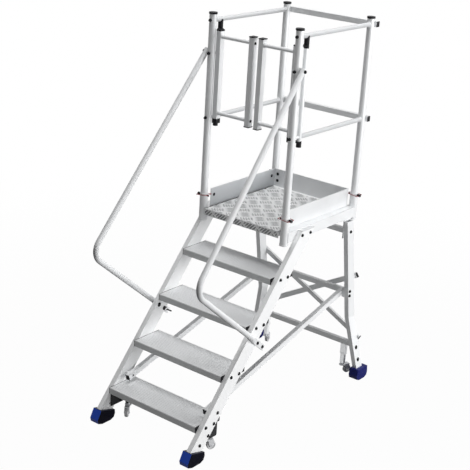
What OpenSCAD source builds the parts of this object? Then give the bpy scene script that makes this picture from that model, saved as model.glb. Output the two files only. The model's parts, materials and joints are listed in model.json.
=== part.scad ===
// Aluminium platform step: four treads up to a railed working deck,
// closed by a saloon gate and carried on moulded feet and sprung castors.
// Lengths are millimetres. X is across the step, the climber looks along +Y
// and Z is up. The origin is the middle of the footprint on the floor.

/* [Steps] */
// Height of the first tread above the floor
first_rise = 192; // [160:1:230]
// Rise from one tread to the next
tread_rise = 220; // [190:1:250]
// Going from one tread front to the next
tread_going = 187.4; // [165:0.1:210]
// Rise from the last tread to the deck
deck_rise = 226; // [190:1:250]
// Length of a tread between the stiles
tread_length = 614; // [540:1:680]
// Depth of a tread from front to back
tread_depth = 196; // [175:1:225]
// Height of a tread's front face
tread_height = 37; // [32:1:45]
// Wall thickness of the tread extrusion
tread_wall = 3.4; // [3:0.1:4]
// Thickness of the plastic cap on each tread end
tread_cap = 3; // [2:0.5:4]
// Spacing of the grip grooves along a tread
groove_pitch = 13; // [10:0.5:20]
// Width of a grip groove
groove_width = 3; // [2:0.5:4]
// Depth of a grip groove
groove_depth = 1; // [0.5:0.1:1.5]
// First side bolt behind the tread front
tread_bolt_first = 50; // [44:1:56]
// Second side bolt behind the tread front
tread_bolt_second = 114; // [100:1:118]
// Side bolts below the tread top
tread_bolt_drop = 12; // [11:0.5:14]

/* [Stiles] */
// Width of a stile across the step
stile_width = 28; // [24:1:34]
// Level depth of a stile from front edge to rear edge
stile_run = 115; // [105:1:130]
// Stile front edge behind the tread front, at tread height
stile_setback = 32; // [24:1:40]
// Wall thickness of a stile
stile_wall = 3; // [2.5:0.1:4]
// Stile top below the deck
stile_top_drop = 8; // [4:1:20]
// Bolts at the stile top: first behind the stile front edge
stile_top_bolt = 20; // [16:1:30]
// Spacing of the two bolts at the stile top
stile_top_pitch = 74; // [60:1:78]

/* [Deck] */
// Width of the deck between the toe boards
deck_width = 514; // [440:1:560]
// Deck front behind the front of the last tread
deck_setback = 106; // [90:1:120]
// Length of the deck plate
deck_length = 635; // [560:1:700]
// Thickness of the deck plate
deck_thickness = 4; // [3:0.5:6]
// Height of the folded front lip
deck_lip = 37; // [25:1:45]
// Depth of a cross bearer
bearer_depth = 42; // [36:1:50]
// Height of a cross bearer
bearer_height = 36; // [30:1:45]
// Wall thickness of bearers and side beams
beam_wall = 3; // [2.5:0.1:4]
// Width of a side beam
beam_width = 50; // [49:1:60]
// Height of a side beam
beam_height = 56; // [48:1:64]
// Height of the toe boards above the deck
toe_height = 104; // [90:1:120]
// Thickness of the toe boards
toe_thickness = 5; // [4:0.5:8]

/* [Guard rails] */
// Radius of a post
post_r = 20; // [18:0.5:21]
// Wall thickness of posts and rails
post_wall = 2.5; // [2:0.1:3]
// Distance between the front posts and the back posts
post_span = 658.5; // [600:0.5:720]
// Top of the post caps above the deck
guard_height = 1079; // [1000:1:1150]
// Thickness of a post cap's disc
cap_thickness = 10; // [6:1:14]
// Radius of a post cap's disc
cap_r = 23; // [22:0.5:26]
// Depth of a post cap's spigot
cap_spigot = 22; // [15:1:30]
// Top rail centre below the cap top
top_rail_drop = 42; // [38:1:60]
// Middle rail centre below the cap top
mid_rail_drop = 569; // [540:1:600]
// Radius of a side rail
rail_r = 12.5; // [11:0.5:14]
// Depth of a back rail
back_rail_depth = 25; // [20:1:30]
// Height of a back rail
back_rail_height = 30; // [24:1:36]
// Back rail end beyond the post axis
back_rail_overhang = 25; // [22:1:35]
// Radius of a post socket
socket_r = 22.8; // [22.5:0.1:24]
// Top of a post socket above the deck
socket_rise = 80; // [70:1:95]
// Bottom of a post socket below the deck
socket_drop = 76; // [70:1:90]
// Thickness of the socket floor
socket_floor = 6; // [4:1:10]
// Height of the rim at the socket bottom
socket_rim_height = 8; // [5:1:12]
// Rim beyond the socket
socket_rim = 1.6; // [1:0.1:2]

/* [Locking pins] */
// Radius of a locking pin
pin_r = 4; // [3.5:0.1:5]
// Pin axis below the socket top
pin_drop = 12; // [10:1:20]
// Pin point beyond the post axis
pin_reach = 35; // [33:1:40]
// Wire hinge beyond the post axis
clip_hinge_reach = 34; // [32:1:40]
// Radius of the pin's head
pin_head_r = 8; // [7:0.5:10]
// Length of the pin's head
pin_head_length = 16; // [12:1:20]
// Radius of the wire
wire_r = 1.6; // [1.5:0.1:2]
// Half width of the wire bow
bow_half = 26.5; // [26:0.5:30]
// Length of the wire bow
bow_length = 66; // [65:0.5:70]
// Depth of the wire's ends inside the head
bow_grip = 4; // [3:0.5:5]

/* [Gate] */
// Gate middle plane behind the front post axis
gate_back = 32.5; // [30:0.5:36]
// Hinge axis behind the front post axis
hinge_back = 65.5; // [62:0.5:70]
// Gate top below the cap top
gate_drop = 98; // [90:1:110]
// Height of a gate leaf
gate_height = 475; // [420:1:500]
// Gap between the two leaves
gate_gap = 33; // [20:1:50]
// Width of a gate stile
gate_stile_width = 29; // [24:1:32]
// Depth of a gate stile
gate_stile_depth = 34; // [28:1:36]
// Wall thickness of a gate stile
gate_wall = 2.5; // [2:0.1:3]
// Hinge side of the leaf inside the hinge axis
gate_hinge_gap = 16; // [15:0.5:20]
// Radius of a gate bar
gate_bar_r = 10; // [8:0.5:12]
// Gate bar centres from the leaf ends
gate_bar_inset = 30; // [24:1:60]
// Radius of the hinge tube
hinge_r = 12.5; // [12:0.5:14]
// Top of the hinge tube below the leaf top
hinge_top_drop = 9; // [8:1:14]
// Bottom of the hinge tube below the leaf foot
hinge_foot_drop = 19; // [18:1:24]
// Upper spacer below the leaf top
hinge_spacer_drop = 120; // [90:1:160]
// Radius of a hinge spacer
hinge_spacer_r = 8; // [7:0.5:9]
// Thickness of a hinge arm
arm_thickness = 7; // [6:0.5:8]
// Radius of a hinge arm's boss
boss_r = 14; // [13:0.5:15]
// Length of the hinge spigots
spigot_length = 30; // [20:1:40]
// Depth of the lower boss below its arm
lower_boss = 26; // [20:1:34]
// Thickness of a gate stile cap
gate_cap = 5; // [4:0.5:7]
// Overhang of a gate stile cap
gate_cap_overhang = 1.5; // [1:0.5:2]

/* [Handrails] */
// Radius of a handrail
hand_r = 15; // [14:0.5:17]
// Handrail's top bolt below the cap top
hand_top_drop = 213; // [190:1:240]
// Handrail end beyond the post axis
hand_past = 14; // [10:1:20]
// Height of the handrail corner
hand_corner_height = 976; // [900:1:1050]
// Handrail corner in front of the first tread
hand_corner_ahead = 111; // [90:1:130]
// Bend radius of the handrail
hand_bend = 80; // [60:1:100]
// Handrail lower bolt behind the first tread's front
hand_foot_back = 479; // [468:1:490]
// Height of the handrail's lower bolt
hand_foot_height = 499; // [490:1:508]
// Spacing of the two lower bolts
hand_bolt_pitch = 56; // [50:1:60]
// Thickness of the flattened lower end
hand_flat = 8; // [7:0.5:10]
// Height of the flattened lower end
hand_flat_height = 34; // [30:1:38]
// Flattened end beyond its bolts
hand_flat_margin = 18; // [14:1:22]
// Length of the tapering part
hand_taper = 60; // [50:1:80]

/* [Rear frame] */
// Depth of a rear leg, level
leg_run = 61; // [52:1:66]
// Wall thickness of a rear leg
leg_wall = 3; // [2.5:0.1:4]
// Leg front edge at the bend, behind the first tread's front
leg_bend_back = 1337; // [1325:1:1350]
// Height of the bend in a rear leg
leg_bend_height = 395; // [375:1:415]
// Forward lean of a leg above the bend, run to rise
leg_lean_share = 0.179; // [0.16:0.001:0.195]
// Outward flare below the bend, run to rise
leg_flare_share = 0.195; // [0.16:0.001:0.22]
// Backward run below the bend, run to rise
leg_kick_share = 0.131; // [0.1:0.001:0.15]
// Leg top below the side beam
leg_top_gap = 4; // [2:0.5:8]
// Thickness of a leg hanger plate
hanger_thickness = 6; // [5:0.5:8]
// Width of a leg hanger plate
hanger_width = 66; // [58:1:72]
// Hanger plate below the top bar's centre
hanger_drop = 40; // [30:1:50]
// Top cross bar below the side beam
top_bar_drop = 70; // [60:1:85]
// Section of the top cross bar
top_bar_side = 28; // [24:1:32]
// Height of the upper cross bar
upper_bar_height = 550; // [540:1:560]
// Height of the lower cross bar
lower_bar_height = 214; // [208:1:222]
// Section height of the lower and upper cross bars
cross_height = 30; // [26:1:34]
// Section depth of the lower and upper cross bars
cross_depth = 24; // [20:1:26]
// Height of the diagonals' upper ends
diagonal_high = 646; // [635:1:660]
// Height of the diagonals' lower ends
diagonal_low = 262; // [258:1:270]
// Section height of a diagonal
diagonal_height = 30; // [26:1:34]
// Section depth of a diagonal
diagonal_depth = 14; // [12:0.5:16]
// Diagonal end beyond the leg's middle
diagonal_past = 24; // [18:1:28]
// Front bolt of a side brace behind the first tread's front
brace_front_back = 140; // [130:1:150]
// Height of the front bolt of a side brace
brace_front_height = 233; // [226:1:240]
// Rear bolts of a side brace behind the leg's front edge
brace_rear_in = 12.8; // [11:0.1:16]
// Height of the rear bolt of a side brace
brace_rear_height = 556; // [550:1:560]
// Width of a side brace
brace_width = 25; // [20:1:30]
// Section height of a side brace
brace_height = 30; // [26:1:34]
// Length of the spacers outside a side brace
brace_spacer = 18.5; // [16:0.5:24]
// Radius of the front brace spacer
brace_spacer_r = 11; // [9:0.5:12]
// Brace end beyond its front bolt
brace_past = 30; // [20:1:36]
// Brace end beyond its rear bolt
brace_rear_past = 10; // [9:0.5:12]
// Height of the rear brace spacer
brace_block_height = 56; // [44:1:60]
// Depth of the rear brace spacer
brace_block_depth = 22; // [20:1:24]
// Spacing of the two rear brace bolts
brace_bolt_pitch = 28; // [24:1:32]
// Wall thickness of braces, bars and back rails
bar_wall = 2.5; // [2:0.1:3]
// Thickness of a plastic tube plug
plug_thickness = 3; // [2:0.5:5]

/* [Feet] */
// Width of a shoe
shoe_width = 58; // [50:1:64]
// Front top of a front shoe ahead of the first tread's front
shoe_top_ahead = 72; // [68:1:80]
// Height of a front shoe's front top
shoe_top_height = 82; // [76:1:90]
// Rear top of a front shoe behind the first tread's front
shoe_heel_back = 32; // [28:1:36]
// Height of a front shoe's rear top
shoe_heel_height = 54; // [48:1:60]
// Front of a front shoe ahead of the first tread's front
shoe_ahead = 98; // [92:1:104]
// Height of the shoe's fullest point
shoe_belly_height = 32; // [28:1:36]
// Height of the toe and heel chamfers of the sole
shoe_toe_height = 10; // [8:1:12]
// Length of the toe and heel chamfers of the sole
shoe_toe = 30; // [24:1:34]
// Inset of the sole's corners
shoe_inset = 6; // [4:0.5:8]
// Length of a shoe's spigot inside its tube
shoe_spigot = 44; // [30:1:60]
// Half length of a rear shoe
rear_shoe_half = 57; // [52:1:60]
// Height of a rear shoe
rear_shoe_height = 72; // [66:1:78]
// Inset of a rear shoe's top
rear_shoe_inset = 5; // [3:1:8]

/* [Castors] */
// Radius of a castor wheel
wheel_r = 25; // [23:0.5:27]
// Width of a castor wheel
wheel_width = 20; // [18:1:22]
// Clearance of the wheels above the floor
wheel_lift = 1; // [1:0.5:3]
// Rounding of the wheel's rim
wheel_edge = 3; // [2:0.5:4]
// Depth of the recess in the wheel's side
wheel_dish = 2; // [1:0.5:3]
// Radius of the wheel's hub
hub_r = 9; // [8:0.5:10]
// Radius of the wheel's axle
axle_r = 4; // [3.5:0.1:4.5]
// Trail of a wheel behind its swivel axis
castor_trail = 36; // [34:0.5:38]
// Thickness of the fork's cheeks
cheek_thickness = 3; // [2.5:0.1:4]
// Side gap between wheel and cheek
cheek_gap = 0.6; // [0.4:0.1:1]
// Radius of a cheek round the axle
cheek_r = 10; // [9:0.5:11]
// Gap between wheel and fork plate
fork_gap = 6; // [4:0.5:8]
// Thickness of the fork's plate
fork_plate = 5; // [4:0.5:6]
// Radius of the fork's plate
fork_r = 19; // [18:0.5:20]
// Radius of a castor's stem
stem_r = 7; // [6:0.5:8]
// Radius of the stem's flanges
flange_r = 11; // [10:0.5:12]
// Thickness of the stem's flanges
flange_thickness = 3; // [2.5:0.5:4]
// Radius of the stem's stop head
stop_r = 10; // [9.5:0.5:10.5]
// Thickness of the stem's stop head
stop_thickness = 4; // [3:0.5:5]
// Lift of a castor against its spring
castor_lift = 6; // [4:0.5:8]
// Drop of a castor below its resting place
castor_drop = 4; // [3:0.5:6]
// Radius of a castor's housing
housing_r = 17; // [16:0.5:18]
// Length of a castor's housing
housing_length = 64; // [60:1:68]
// Radius of the spring chamber in the housing
chamber_r = 12.5; // [12:0.5:13]
// Length of the guide below the chamber
guide_length = 20; // [16:1:24]
// Front castor axis inside the stiles
front_castor_in = 32; // [30:1:36]
// Front castor axis behind the first tread's front
front_castor_back = 120; // [117:1:126]
// Rear castor axis from the middle
rear_castor_out = 290; // [280:1:292]
// Castor bolt behind the first tread's front
castor_bolt_back = 72; // [66:1:76]
// Height of the castor bolt
castor_bolt_height = 125; // [120:1:130]
// Thickness of the castor's gusset plate
castor_plate = 6; // [5:0.5:8]
// Front edge of the gusset plate behind the first tread's front
gusset_front = 14; // [12:1:18]
// Rear edge of the gusset plate behind the first tread's front
gusset_back = 178; // [168:1:184]
// Gusset plate's foot above the foot of the castor's housing
gusset_lift = 3; // [2:0.5:5]
// Chamfer of the gusset plate's rear corner
gusset_corner = 6; // [4:0.5:10]
// Height of the web between gusset plate and housing
castor_web_height = 34; // [30:1:36]
// Width of the web between gusset plate and housing
castor_web = 16; // [12:1:20]
// Foot bolt behind the stile's front edge
foot_bolt_back = 58; // [50:1:66]
// Height of the foot bolt
foot_bolt_height = 94; // [88:1:100]

/* [Fasteners] */
// Radius of a bolt's shank
bolt_r = 4; // [3.5:0.1:4.5]
// Radius over the corners of a bolt's head
bolt_head_r = 7.5; // [6.5:0.1:8]
// Height of a bolt's head
bolt_head = 5; // [4:0.5:6]
// Depth of a bolt beyond what it clamps
bolt_grip = 22; // [16:1:28]
// Height of a saddle washer on a round tube
saddle = 5; // [4:0.5:6]
// Radius of a saddle washer
saddle_r = 8.5; // [8:0.5:9]

/* [Fits] */
// Clearance round bolts
bolt_clear = 0.15; // [0.1:0.05:0.3]
// Clearance of static slip fits
slip_clear = 0.2; // [0.15:0.05:0.3]
// Clearance of running fits
run_clear = 0.05; // [0.03:0.01:0.08]
// End gap between faces that turn on each other
face_gap = 0.3; // [0.2:0.05:0.5]

/* [Hidden] */
// Overrun of every cut past the faces it opens
overrun = 2;
// Half of a whole
half_share = 0.5;
// Facets of round pieces, fine pieces and polygons
round_facets = 32;
fine_facets = 20;
hex_sides = 6;
// Points round the handrail, steps round its bend and roundness of its flattened end
ring_facets = 28;
bend_steps = 10;
flat_roundness = 0.4;
// Swivel directions the castors are left in
castor_turn_front_left = -57;
castor_turn_front_right = 58;
castor_turn_rear_left = 110;
castor_turn_rear_right = 70;
// Number of treads
treads = 4;
// Cells of the tread extrusion
tread_cells = 3;
// Radius of the screw ports in a tread
port_r = bolt_r + tread_wall + tread_wall;

// Heights
deck_top = first_rise + tread_rise * (treads - 1) + deck_rise;
stile_top = deck_top - stile_top_drop;
beam_foot = deck_top - beam_height;
guard_top = deck_top + guard_height;
top_rail_z = guard_top - top_rail_drop;
mid_rail_z = guard_top - mid_rail_drop;
socket_top = deck_top + socket_rise;
socket_foot = deck_top - socket_drop;
post_foot = socket_foot + socket_floor;
post_top = guard_top - cap_thickness;
pin_z = socket_top - pin_drop;
gate_head = guard_top - gate_drop;
gate_foot = gate_head - gate_height;
hinge_head = gate_head - hinge_top_drop;
hinge_foot = gate_foot - hinge_foot_drop;
hinge_spacer_z = gate_head - hinge_spacer_drop;
hand_top_z = guard_top - hand_top_drop;
leg_top = beam_foot - leg_top_gap;
top_bar_z = beam_foot - top_bar_drop;

// Widths
tread_half = tread_length * half_share;
stile_out = tread_half + stile_width;
deck_half = deck_width * half_share;
post_x = deck_half + beam_width * half_share;
hand_top_x = post_x + post_r + hand_r + slip_clear;
hand_low_x = stile_out + hand_r;
gate_hinge_x = post_x - gate_hinge_gap;
gate_close_x = gate_gap * half_share;
brace_x = tread_half - brace_spacer - brace_width;
front_castor_x = tread_half - front_castor_in;

// Depths, from the first tread's front before the whole is centred
pitch = tread_rise / tread_going;
stile_wall_run = stile_wall * sqrt(pitch * pitch + 1) / pitch;
deck_front = tread_going * (treads - 1) + deck_setback;
deck_back = deck_front + deck_length;
bearer_back = deck_back + bearer_depth;
post_front_y = deck_front + socket_r;
post_back_y = post_front_y + post_span;
hinge_y = post_front_y + hinge_back;
gate_y = post_front_y + gate_back;
toe_back = post_back_y - bow_half - wire_r - wire_r - wire_r - toe_thickness;
toe_front = post_front_y + bow_half + wire_r + wire_r + wire_r;
rail_back_y = post_back_y + post_r + slip_clear;
function stile_front(z) = stile_setback + (z - first_rise) / pitch;
function leg_front(z) = z > leg_bend_height
  ? leg_bend_back - leg_lean_share * (z - leg_bend_height)
  : leg_bend_back + leg_kick_share * (leg_bend_height - z);
function leg_mid(z) = leg_front(z) + leg_run * half_share;
function leg_out(z) = max(0, leg_bend_height - z) * leg_flare_share;
function brace_z(y) = brace_front_height + (y - brace_front_back) * brace_slope;
brace_rear_back = leg_front(brace_rear_height) + brace_rear_in;
brace_slope = (brace_rear_height - brace_front_height) / (brace_rear_back - brace_front_back);
brace_angle = atan(brace_slope);
upper_bar_y = brace_rear_back + brace_rear_past + cross_depth;
shoe_slope = (shoe_heel_height - shoe_top_height) / (shoe_heel_back + shoe_top_ahead);
function shoe_cut(y) = (shoe_top_height + shoe_slope * (y - first_rise / pitch + shoe_top_ahead))
  / (1 - shoe_slope / pitch);
shoe_cut_front = shoe_cut(stile_setback);
shoe_cut_rear = shoe_cut(stile_setback + stile_run);
rear_shoe_y = leg_mid(rear_shoe_height * half_share);
rear_shoe_x = tread_half + stile_width * half_share + leg_out(rear_shoe_height * half_share);
rear_castor_y = leg_mid(lower_bar_height);
lower_bar_foot = lower_bar_height - cross_height * half_share;

// Handrail path in the side view
hand_top_point = [hand_top_x, post_front_y, hand_top_z];
hand_corner = [hand_low_x, -hand_corner_ahead, hand_corner_height];
hand_foot_point = [hand_low_x, hand_foot_back, hand_foot_height];
function unit(v) = v / norm(v);
hand_up = unit(hand_top_point - hand_corner);
hand_down = unit(hand_foot_point - hand_corner);
hand_end = hand_top_point + hand_up * hand_past;
hand_half_angle = acos(hand_up * hand_down) * half_share;
hand_arc_in = hand_bend / tan(hand_half_angle);
hand_arc_mid = hand_corner + unit(hand_up + hand_down) * (hand_bend / sin(hand_half_angle));
hand_flat_start = hand_foot_point - hand_down * (hand_bolt_pitch + hand_flat_margin);
hand_taper_start = hand_flat_start - hand_down * hand_taper;
hand_bolt_second = hand_foot_point - hand_down * hand_bolt_pitch;
hand_flat_x = stile_out + slip_clear + hand_flat * half_share;
hand_arc_start = hand_corner + hand_up * hand_arc_in;
hand_arc_end = hand_corner + hand_down * hand_arc_in;
hand_side = unit(hand_arc_start - hand_arc_mid);
hand_low_side = unit(hand_arc_end - hand_arc_mid);
hand_normal = unit(cross(hand_side, hand_low_side));
hand_ahead = cross(hand_normal, hand_side);
hand_turn = acos(hand_side * hand_low_side);
hand_flat_side = unit([0, hand_low_side.y, hand_low_side.z]);

// Middle of the footprint, found from the bend in front and the rear shoes
front_reach = min(hand_arc_mid.y - hand_bend - hand_r, -shoe_ahead);
rear_reach = rear_shoe_y + rear_shoe_half;
y_mid = (front_reach + rear_reach) * half_share;

// Castor heights
wheel_z = wheel_lift + wheel_r;
fork_foot = wheel_z + wheel_r + fork_gap;
fork_top = fork_foot + fork_plate;
flange_top = fork_top + face_gap + flange_thickness;
housing_foot = flange_top + castor_lift + overrun;
housing_top = housing_foot + housing_length;
guide_top = housing_foot + guide_length;
stop_foot = guide_top + castor_drop + face_gap;

// Bolt places in the side view
tread_bolts = [for (i = [0 : treads - 1]) for (b = [tread_bolt_first, tread_bolt_second])
  [i * tread_going + b, first_rise + i * tread_rise - tread_bolt_drop]];
stile_top_z = beam_foot + beam_height * half_share;
stile_top_bolts = [for (b = [stile_top_bolt, stile_top_bolt + stile_top_pitch])
  [stile_front(stile_top_z) + b, stile_top_z]];
hand_bolts = [[hand_foot_point.y, hand_foot_point.z], [hand_bolt_second.y, hand_bolt_second.z]];
brace_front_bolt = [brace_front_back, brace_front_height];
castor_bolt = [castor_bolt_back, castor_bolt_height];
foot_bolt = [stile_front(foot_bolt_height) + foot_bolt_back, foot_bolt_height];
brace_rear_bolts = [for (s = [-half_share, half_share])
  [brace_rear_back, brace_rear_height + s * brace_bolt_pitch]];
leg_top_bolt = [leg_mid(top_bar_z), top_bar_z];

// Rear diagonals
diagonal_top_y = leg_front(diagonal_high) + leg_run;
diagonal_low_y = leg_front(diagonal_low) + leg_run;
diagonal_tilt = atan((diagonal_low_y - diagonal_top_y) / (diagonal_high - diagonal_low));
diagonal_rise = (diagonal_high - diagonal_low) / cos(diagonal_tilt);
diagonal_x_top = tread_half + stile_width * half_share;
diagonal_x_low = diagonal_x_top + leg_out(diagonal_low);
diagonal_span = diagonal_x_top + diagonal_x_low;
diagonal_angle = atan(diagonal_rise / diagonal_span);
diagonal_length = norm([diagonal_rise, diagonal_span]) + diagonal_past + diagonal_past;
diagonal_shift = (diagonal_x_low - diagonal_x_top) * half_share;
diagonal_seat = slip_clear + slip_clear + slip_clear;
diagonal_second = diagonal_seat + diagonal_depth + slip_clear;

// Finishes
aluminium = [0.80, 0.81, 0.82];
black = [0.10, 0.10, 0.11];
blue = [0.10, 0.30, 0.68];
red = [0.55, 0.10, 0.12];
steel = [0.62, 0.63, 0.65];

// Shared shapes

// Moves a piece from the first tread's front to the middle of the footprint
module placed() {
  translate([0, -y_mid, 0]) children();
}

// A piece and its twin on the other side
module both_sides() {
  children();
  mirror([1, 0, 0]) children();
}

// Side profile drawn as depth and height, from one width to another
module side_profile(points, x_from, x_to) {
  translate([x_from, 0, 0]) rotate([90, 0, 90])
    linear_extrude(height = x_to - x_from) polygon(points);
}

// Round bar across the step through a point of the side view
module bar_x(at, x_from, x_to, r, facets = fine_facets) {
  translate([x_from, at[0], at[1]]) rotate([0, 90, 0])
    cylinder(r = r, h = x_to - x_from, $fn = facets);
}

// Round bar along the depth through a point of the front view
module bar_y(at, y_from, y_to, r, facets = fine_facets) {
  translate([at[0], y_from, at[1]]) rotate([-90, 0, 0])
    cylinder(r = r, h = y_to - y_from, $fn = facets);
}

// Upright round bar
module bar_z(at, z_from, z_to, r, facets = round_facets) {
  translate([at[0], at[1], z_from]) cylinder(r = r, h = z_to - z_from, $fn = facets);
}

// Round bar between two points
module bar_between(from, to, r, facets = round_facets) {
  way = to - from;
  translate(from)
    rotate([0, acos(way.z / norm(way)), atan2(way.y, way.x)])
      cylinder(r = r, h = norm(way), $fn = facets);
}

// Upright-cornered block between two corners
module block(from, to) {
  translate(from) cube(to - from);
}

// Box whose level section moves from a foot to a head
module slanted_box(foot, head, width, run) {
  corners = [[0, 0], [width, 0], [width, run], [0, run]];
  points = concat([for (c = corners) foot + [c[0], c[1], 0]], [for (c = corners) head + [c[0], c[1], 0]]);
  polyhedron(points, [[0, 1, 2, 3], [7, 6, 5, 4], [0, 4, 5, 1], [1, 5, 6, 2], [2, 6, 7, 3], [3, 7, 4, 0]]);
}

// Bolt across the step with its head on an outer face
module bolt_x(at, x_end, x_seat) {
  bar_x(at, x_end, x_seat + bolt_head * half_share, bolt_r);
  bar_x(at, x_seat, x_seat + bolt_head, bolt_head_r, hex_sides);
}

// Bolt along the depth with a saddle washer on the front of an upright round tube
module saddle_bolt(x, y, z, r, y_end) {
  seat = y - r - saddle;
  bar_y([x, z], seat - bolt_head * half_share, y_end, bolt_r);
  bar_y([x, z], seat - bolt_head, seat, bolt_head_r, hex_sides);
  difference() {
    bar_y([x, z], seat, y, saddle_r);
    bar_z([x, y], z - post_r, z + post_r, r + slip_clear);
  }
}

// Holes across the step at points of the side view
module holes_x(points, x_from, x_to) {
  for (at = points)
    bar_x(at, x_from, x_to, bolt_r + bolt_clear);
}

// Stair frame

module stile_solid() {
  wall = stile_wall_run;
  low = min(shoe_cut_front, shoe_cut_rear) - tread_rise * half_share;
  high = stile_top + overrun;
  all_bolts = concat(tread_bolts, stile_top_bolts, hand_bolts, [brace_front_bolt, castor_bolt, foot_bolt]);
  difference() {
    side_profile([[stile_front(shoe_cut_front), shoe_cut_front], [stile_front(stile_top), stile_top],
      [stile_front(stile_top) + stile_run, stile_top],
      [stile_front(shoe_cut_rear) + stile_run, shoe_cut_rear]], tread_half, stile_out);
    side_profile([[stile_front(low) + wall, low], [stile_front(high) + wall, high],
      [stile_front(high) + stile_run - wall, high], [stile_front(low) + stile_run - wall, low]],
      tread_half + stile_wall, stile_out - stile_wall);
    holes_x(all_bolts, tread_half - overrun, stile_out + overrun);
  }
}

module stile_left() {
  color(aluminium) placed() mirror([1, 0, 0]) stile_solid();
}

module stile_right() {
  color(aluminium) placed() stile_solid();
}

// Outline of a tread's end with chamfered nose
module tread_outline() {
  polygon([[0, -tread_wall], [tread_wall, 0], [tread_depth, 0], [tread_depth, -tread_height],
    [tread_wall, -tread_height], [0, tread_wall - tread_height]]);
}

module tread_section() {
  skin = tread_wall + groove_depth;
  cell = (tread_depth - tread_wall * (tread_cells + 1)) / tread_cells;
  difference() {
    tread_outline();
    for (y = [groove_pitch : groove_pitch : tread_depth - groove_pitch])
      translate([y, -groove_depth]) square([groove_width, groove_depth + overrun]);
    difference() {
      for (i = [0 : tread_cells - 1])
        translate([tread_wall + i * (cell + tread_wall), tread_wall - tread_height])
          square([cell, tread_height - tread_wall - skin]);
      for (b = [tread_bolt_first, tread_bolt_second])
        translate([b - port_r, -tread_bolt_drop - port_r]) square([port_r + port_r, port_r + port_r]);
    }
  }
}

module tread(index) {
  inner = tread_half - tread_cap;
  placed() difference() {
    translate([-inner, index * tread_going, first_rise + index * tread_rise]) rotate([90, 0, 90])
      linear_extrude(height = inner + inner) tread_section();
    for (b = [0, 1])
      both_sides()
        bar_x(tread_bolts[index + index + b], inner - bolt_grip - bolt_grip, inner + overrun,
          bolt_r + bolt_clear);
  }
}

module tread_1() {
  color(aluminium) tread(0);
}

module tread_2() {
  color(aluminium) tread(1);
}

module tread_3() {
  color(aluminium) tread(2);
}

module tread_4() {
  color(aluminium) tread(3);
}

module tread_end_caps() {
  color(black) placed() both_sides()
    for (i = [0 : treads - 1])
      difference() {
        translate([tread_half - tread_cap, i * tread_going, first_rise + i * tread_rise]) rotate([90, 0, 90])
          linear_extrude(height = tread_cap) tread_outline();
        for (b = [0, 1])
          bar_x(tread_bolts[i + i + b], tread_half - tread_cap - overrun, tread_half + overrun,
            bolt_r + bolt_clear);
      }
}

// Deck

module deck() {
  color(aluminium) placed()
    side_profile([[deck_front, deck_top - deck_lip], [deck_front, deck_top], [deck_back, deck_top],
      [deck_back, deck_top - deck_thickness], [deck_front + deck_thickness, deck_top - deck_thickness],
      [deck_front + deck_thickness, deck_top - deck_lip]], -deck_half, deck_half);
}

// Hollow cross bearer between the side beams
module bearer(y, top) {
  difference() {
    block([-deck_half, y, top - bearer_height], [deck_half, y + bearer_depth, top]);
    block([-deck_half - overrun, y + beam_wall, top - bearer_height + beam_wall],
      [deck_half + overrun, y + bearer_depth - beam_wall, top - beam_wall]);
  }
}

module deck_bearers() {
  under = deck_top - deck_thickness;
  color(aluminium) placed() {
    bearer(deck_front + bearer_depth, under);
    bearer(deck_front + deck_length * half_share, under);
    bearer(deck_back, deck_top);
  }
}

module side_beam_solid() {
  out = deck_half + beam_width;
  difference() {
    block([deck_half, post_front_y, beam_foot], [out, post_back_y, deck_top]);
    block([deck_half + beam_wall, post_front_y - overrun, beam_foot + beam_wall],
      [out - beam_wall, post_back_y + overrun, deck_top - beam_wall]);
    for (y = [post_front_y, post_back_y])
      bar_z([post_x, y], beam_foot - overrun, deck_top + overrun, socket_r + slip_clear);
    holes_x(stile_top_bolts, out - beam_wall - overrun, out + overrun);
  }
}

module side_beam_left() {
  color(aluminium) placed() mirror([1, 0, 0]) side_beam_solid();
}

module side_beam_right() {
  color(aluminium) placed() side_beam_solid();
}

module toe_board_side() {
  block([deck_half, toe_front, deck_top],
    [deck_half + toe_thickness, toe_back + toe_thickness, deck_top + toe_height]);
}

module toe_board_left() {
  color(aluminium) placed() mirror([1, 0, 0]) toe_board_side();
}

module toe_board_right() {
  color(aluminium) placed() toe_board_side();
}

module toe_board_back() {
  color(aluminium) placed()
    block([-deck_half, toe_back, deck_top], [deck_half, toe_back + toe_thickness, deck_top + toe_height]);
}

// Guard rails

module post_sockets() {
  color(aluminium) placed() both_sides()
    for (y = [post_front_y, post_back_y])
      difference() {
        union() {
          bar_z([post_x, y], socket_foot, socket_top, socket_r);
          bar_z([post_x, y], socket_foot, socket_foot + socket_rim_height, socket_r + socket_rim);
        }
        bar_z([post_x, y], post_foot, socket_top + overrun, post_r + slip_clear);
        bar_x([y, pin_z], post_x - cap_r - cap_r, post_x + cap_r + cap_r, pin_r + slip_clear);
      }
}

// Upright tube with its pin hole
module post_tube(y) {
  difference() {
    bar_z([post_x, y], post_foot, post_top, post_r);
    bar_z([post_x, y], post_foot - overrun, post_top + overrun, post_r - post_wall);
    bar_x([y, pin_z], post_x - cap_r - cap_r, post_x + cap_r + cap_r, pin_r + slip_clear);
    children();
  }
}

module front_post() {
  post_tube(post_front_y) {
    for (z = [top_rail_z, hinge_spacer_z, mid_rail_z])
      bar_y([post_x, z], post_front_y - cap_r - cap_r, post_front_y + cap_r + cap_r, bolt_r + bolt_clear);
    bar_x([post_front_y, hand_top_z], post_x, post_x + cap_r + cap_r, bolt_r + bolt_clear);
  }
}

module back_post() {
  post_tube(post_back_y)
    for (z = [top_rail_z, mid_rail_z])
      bar_y([post_x, z], post_back_y - cap_r - cap_r, post_back_y + cap_r + cap_r, bolt_r + bolt_clear);
}

module post_front_left() {
  color(aluminium) placed() mirror([1, 0, 0]) front_post();
}

module post_front_right() {
  color(aluminium) placed() front_post();
}

module post_back_left() {
  color(aluminium) placed() mirror([1, 0, 0]) back_post();
}

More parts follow.
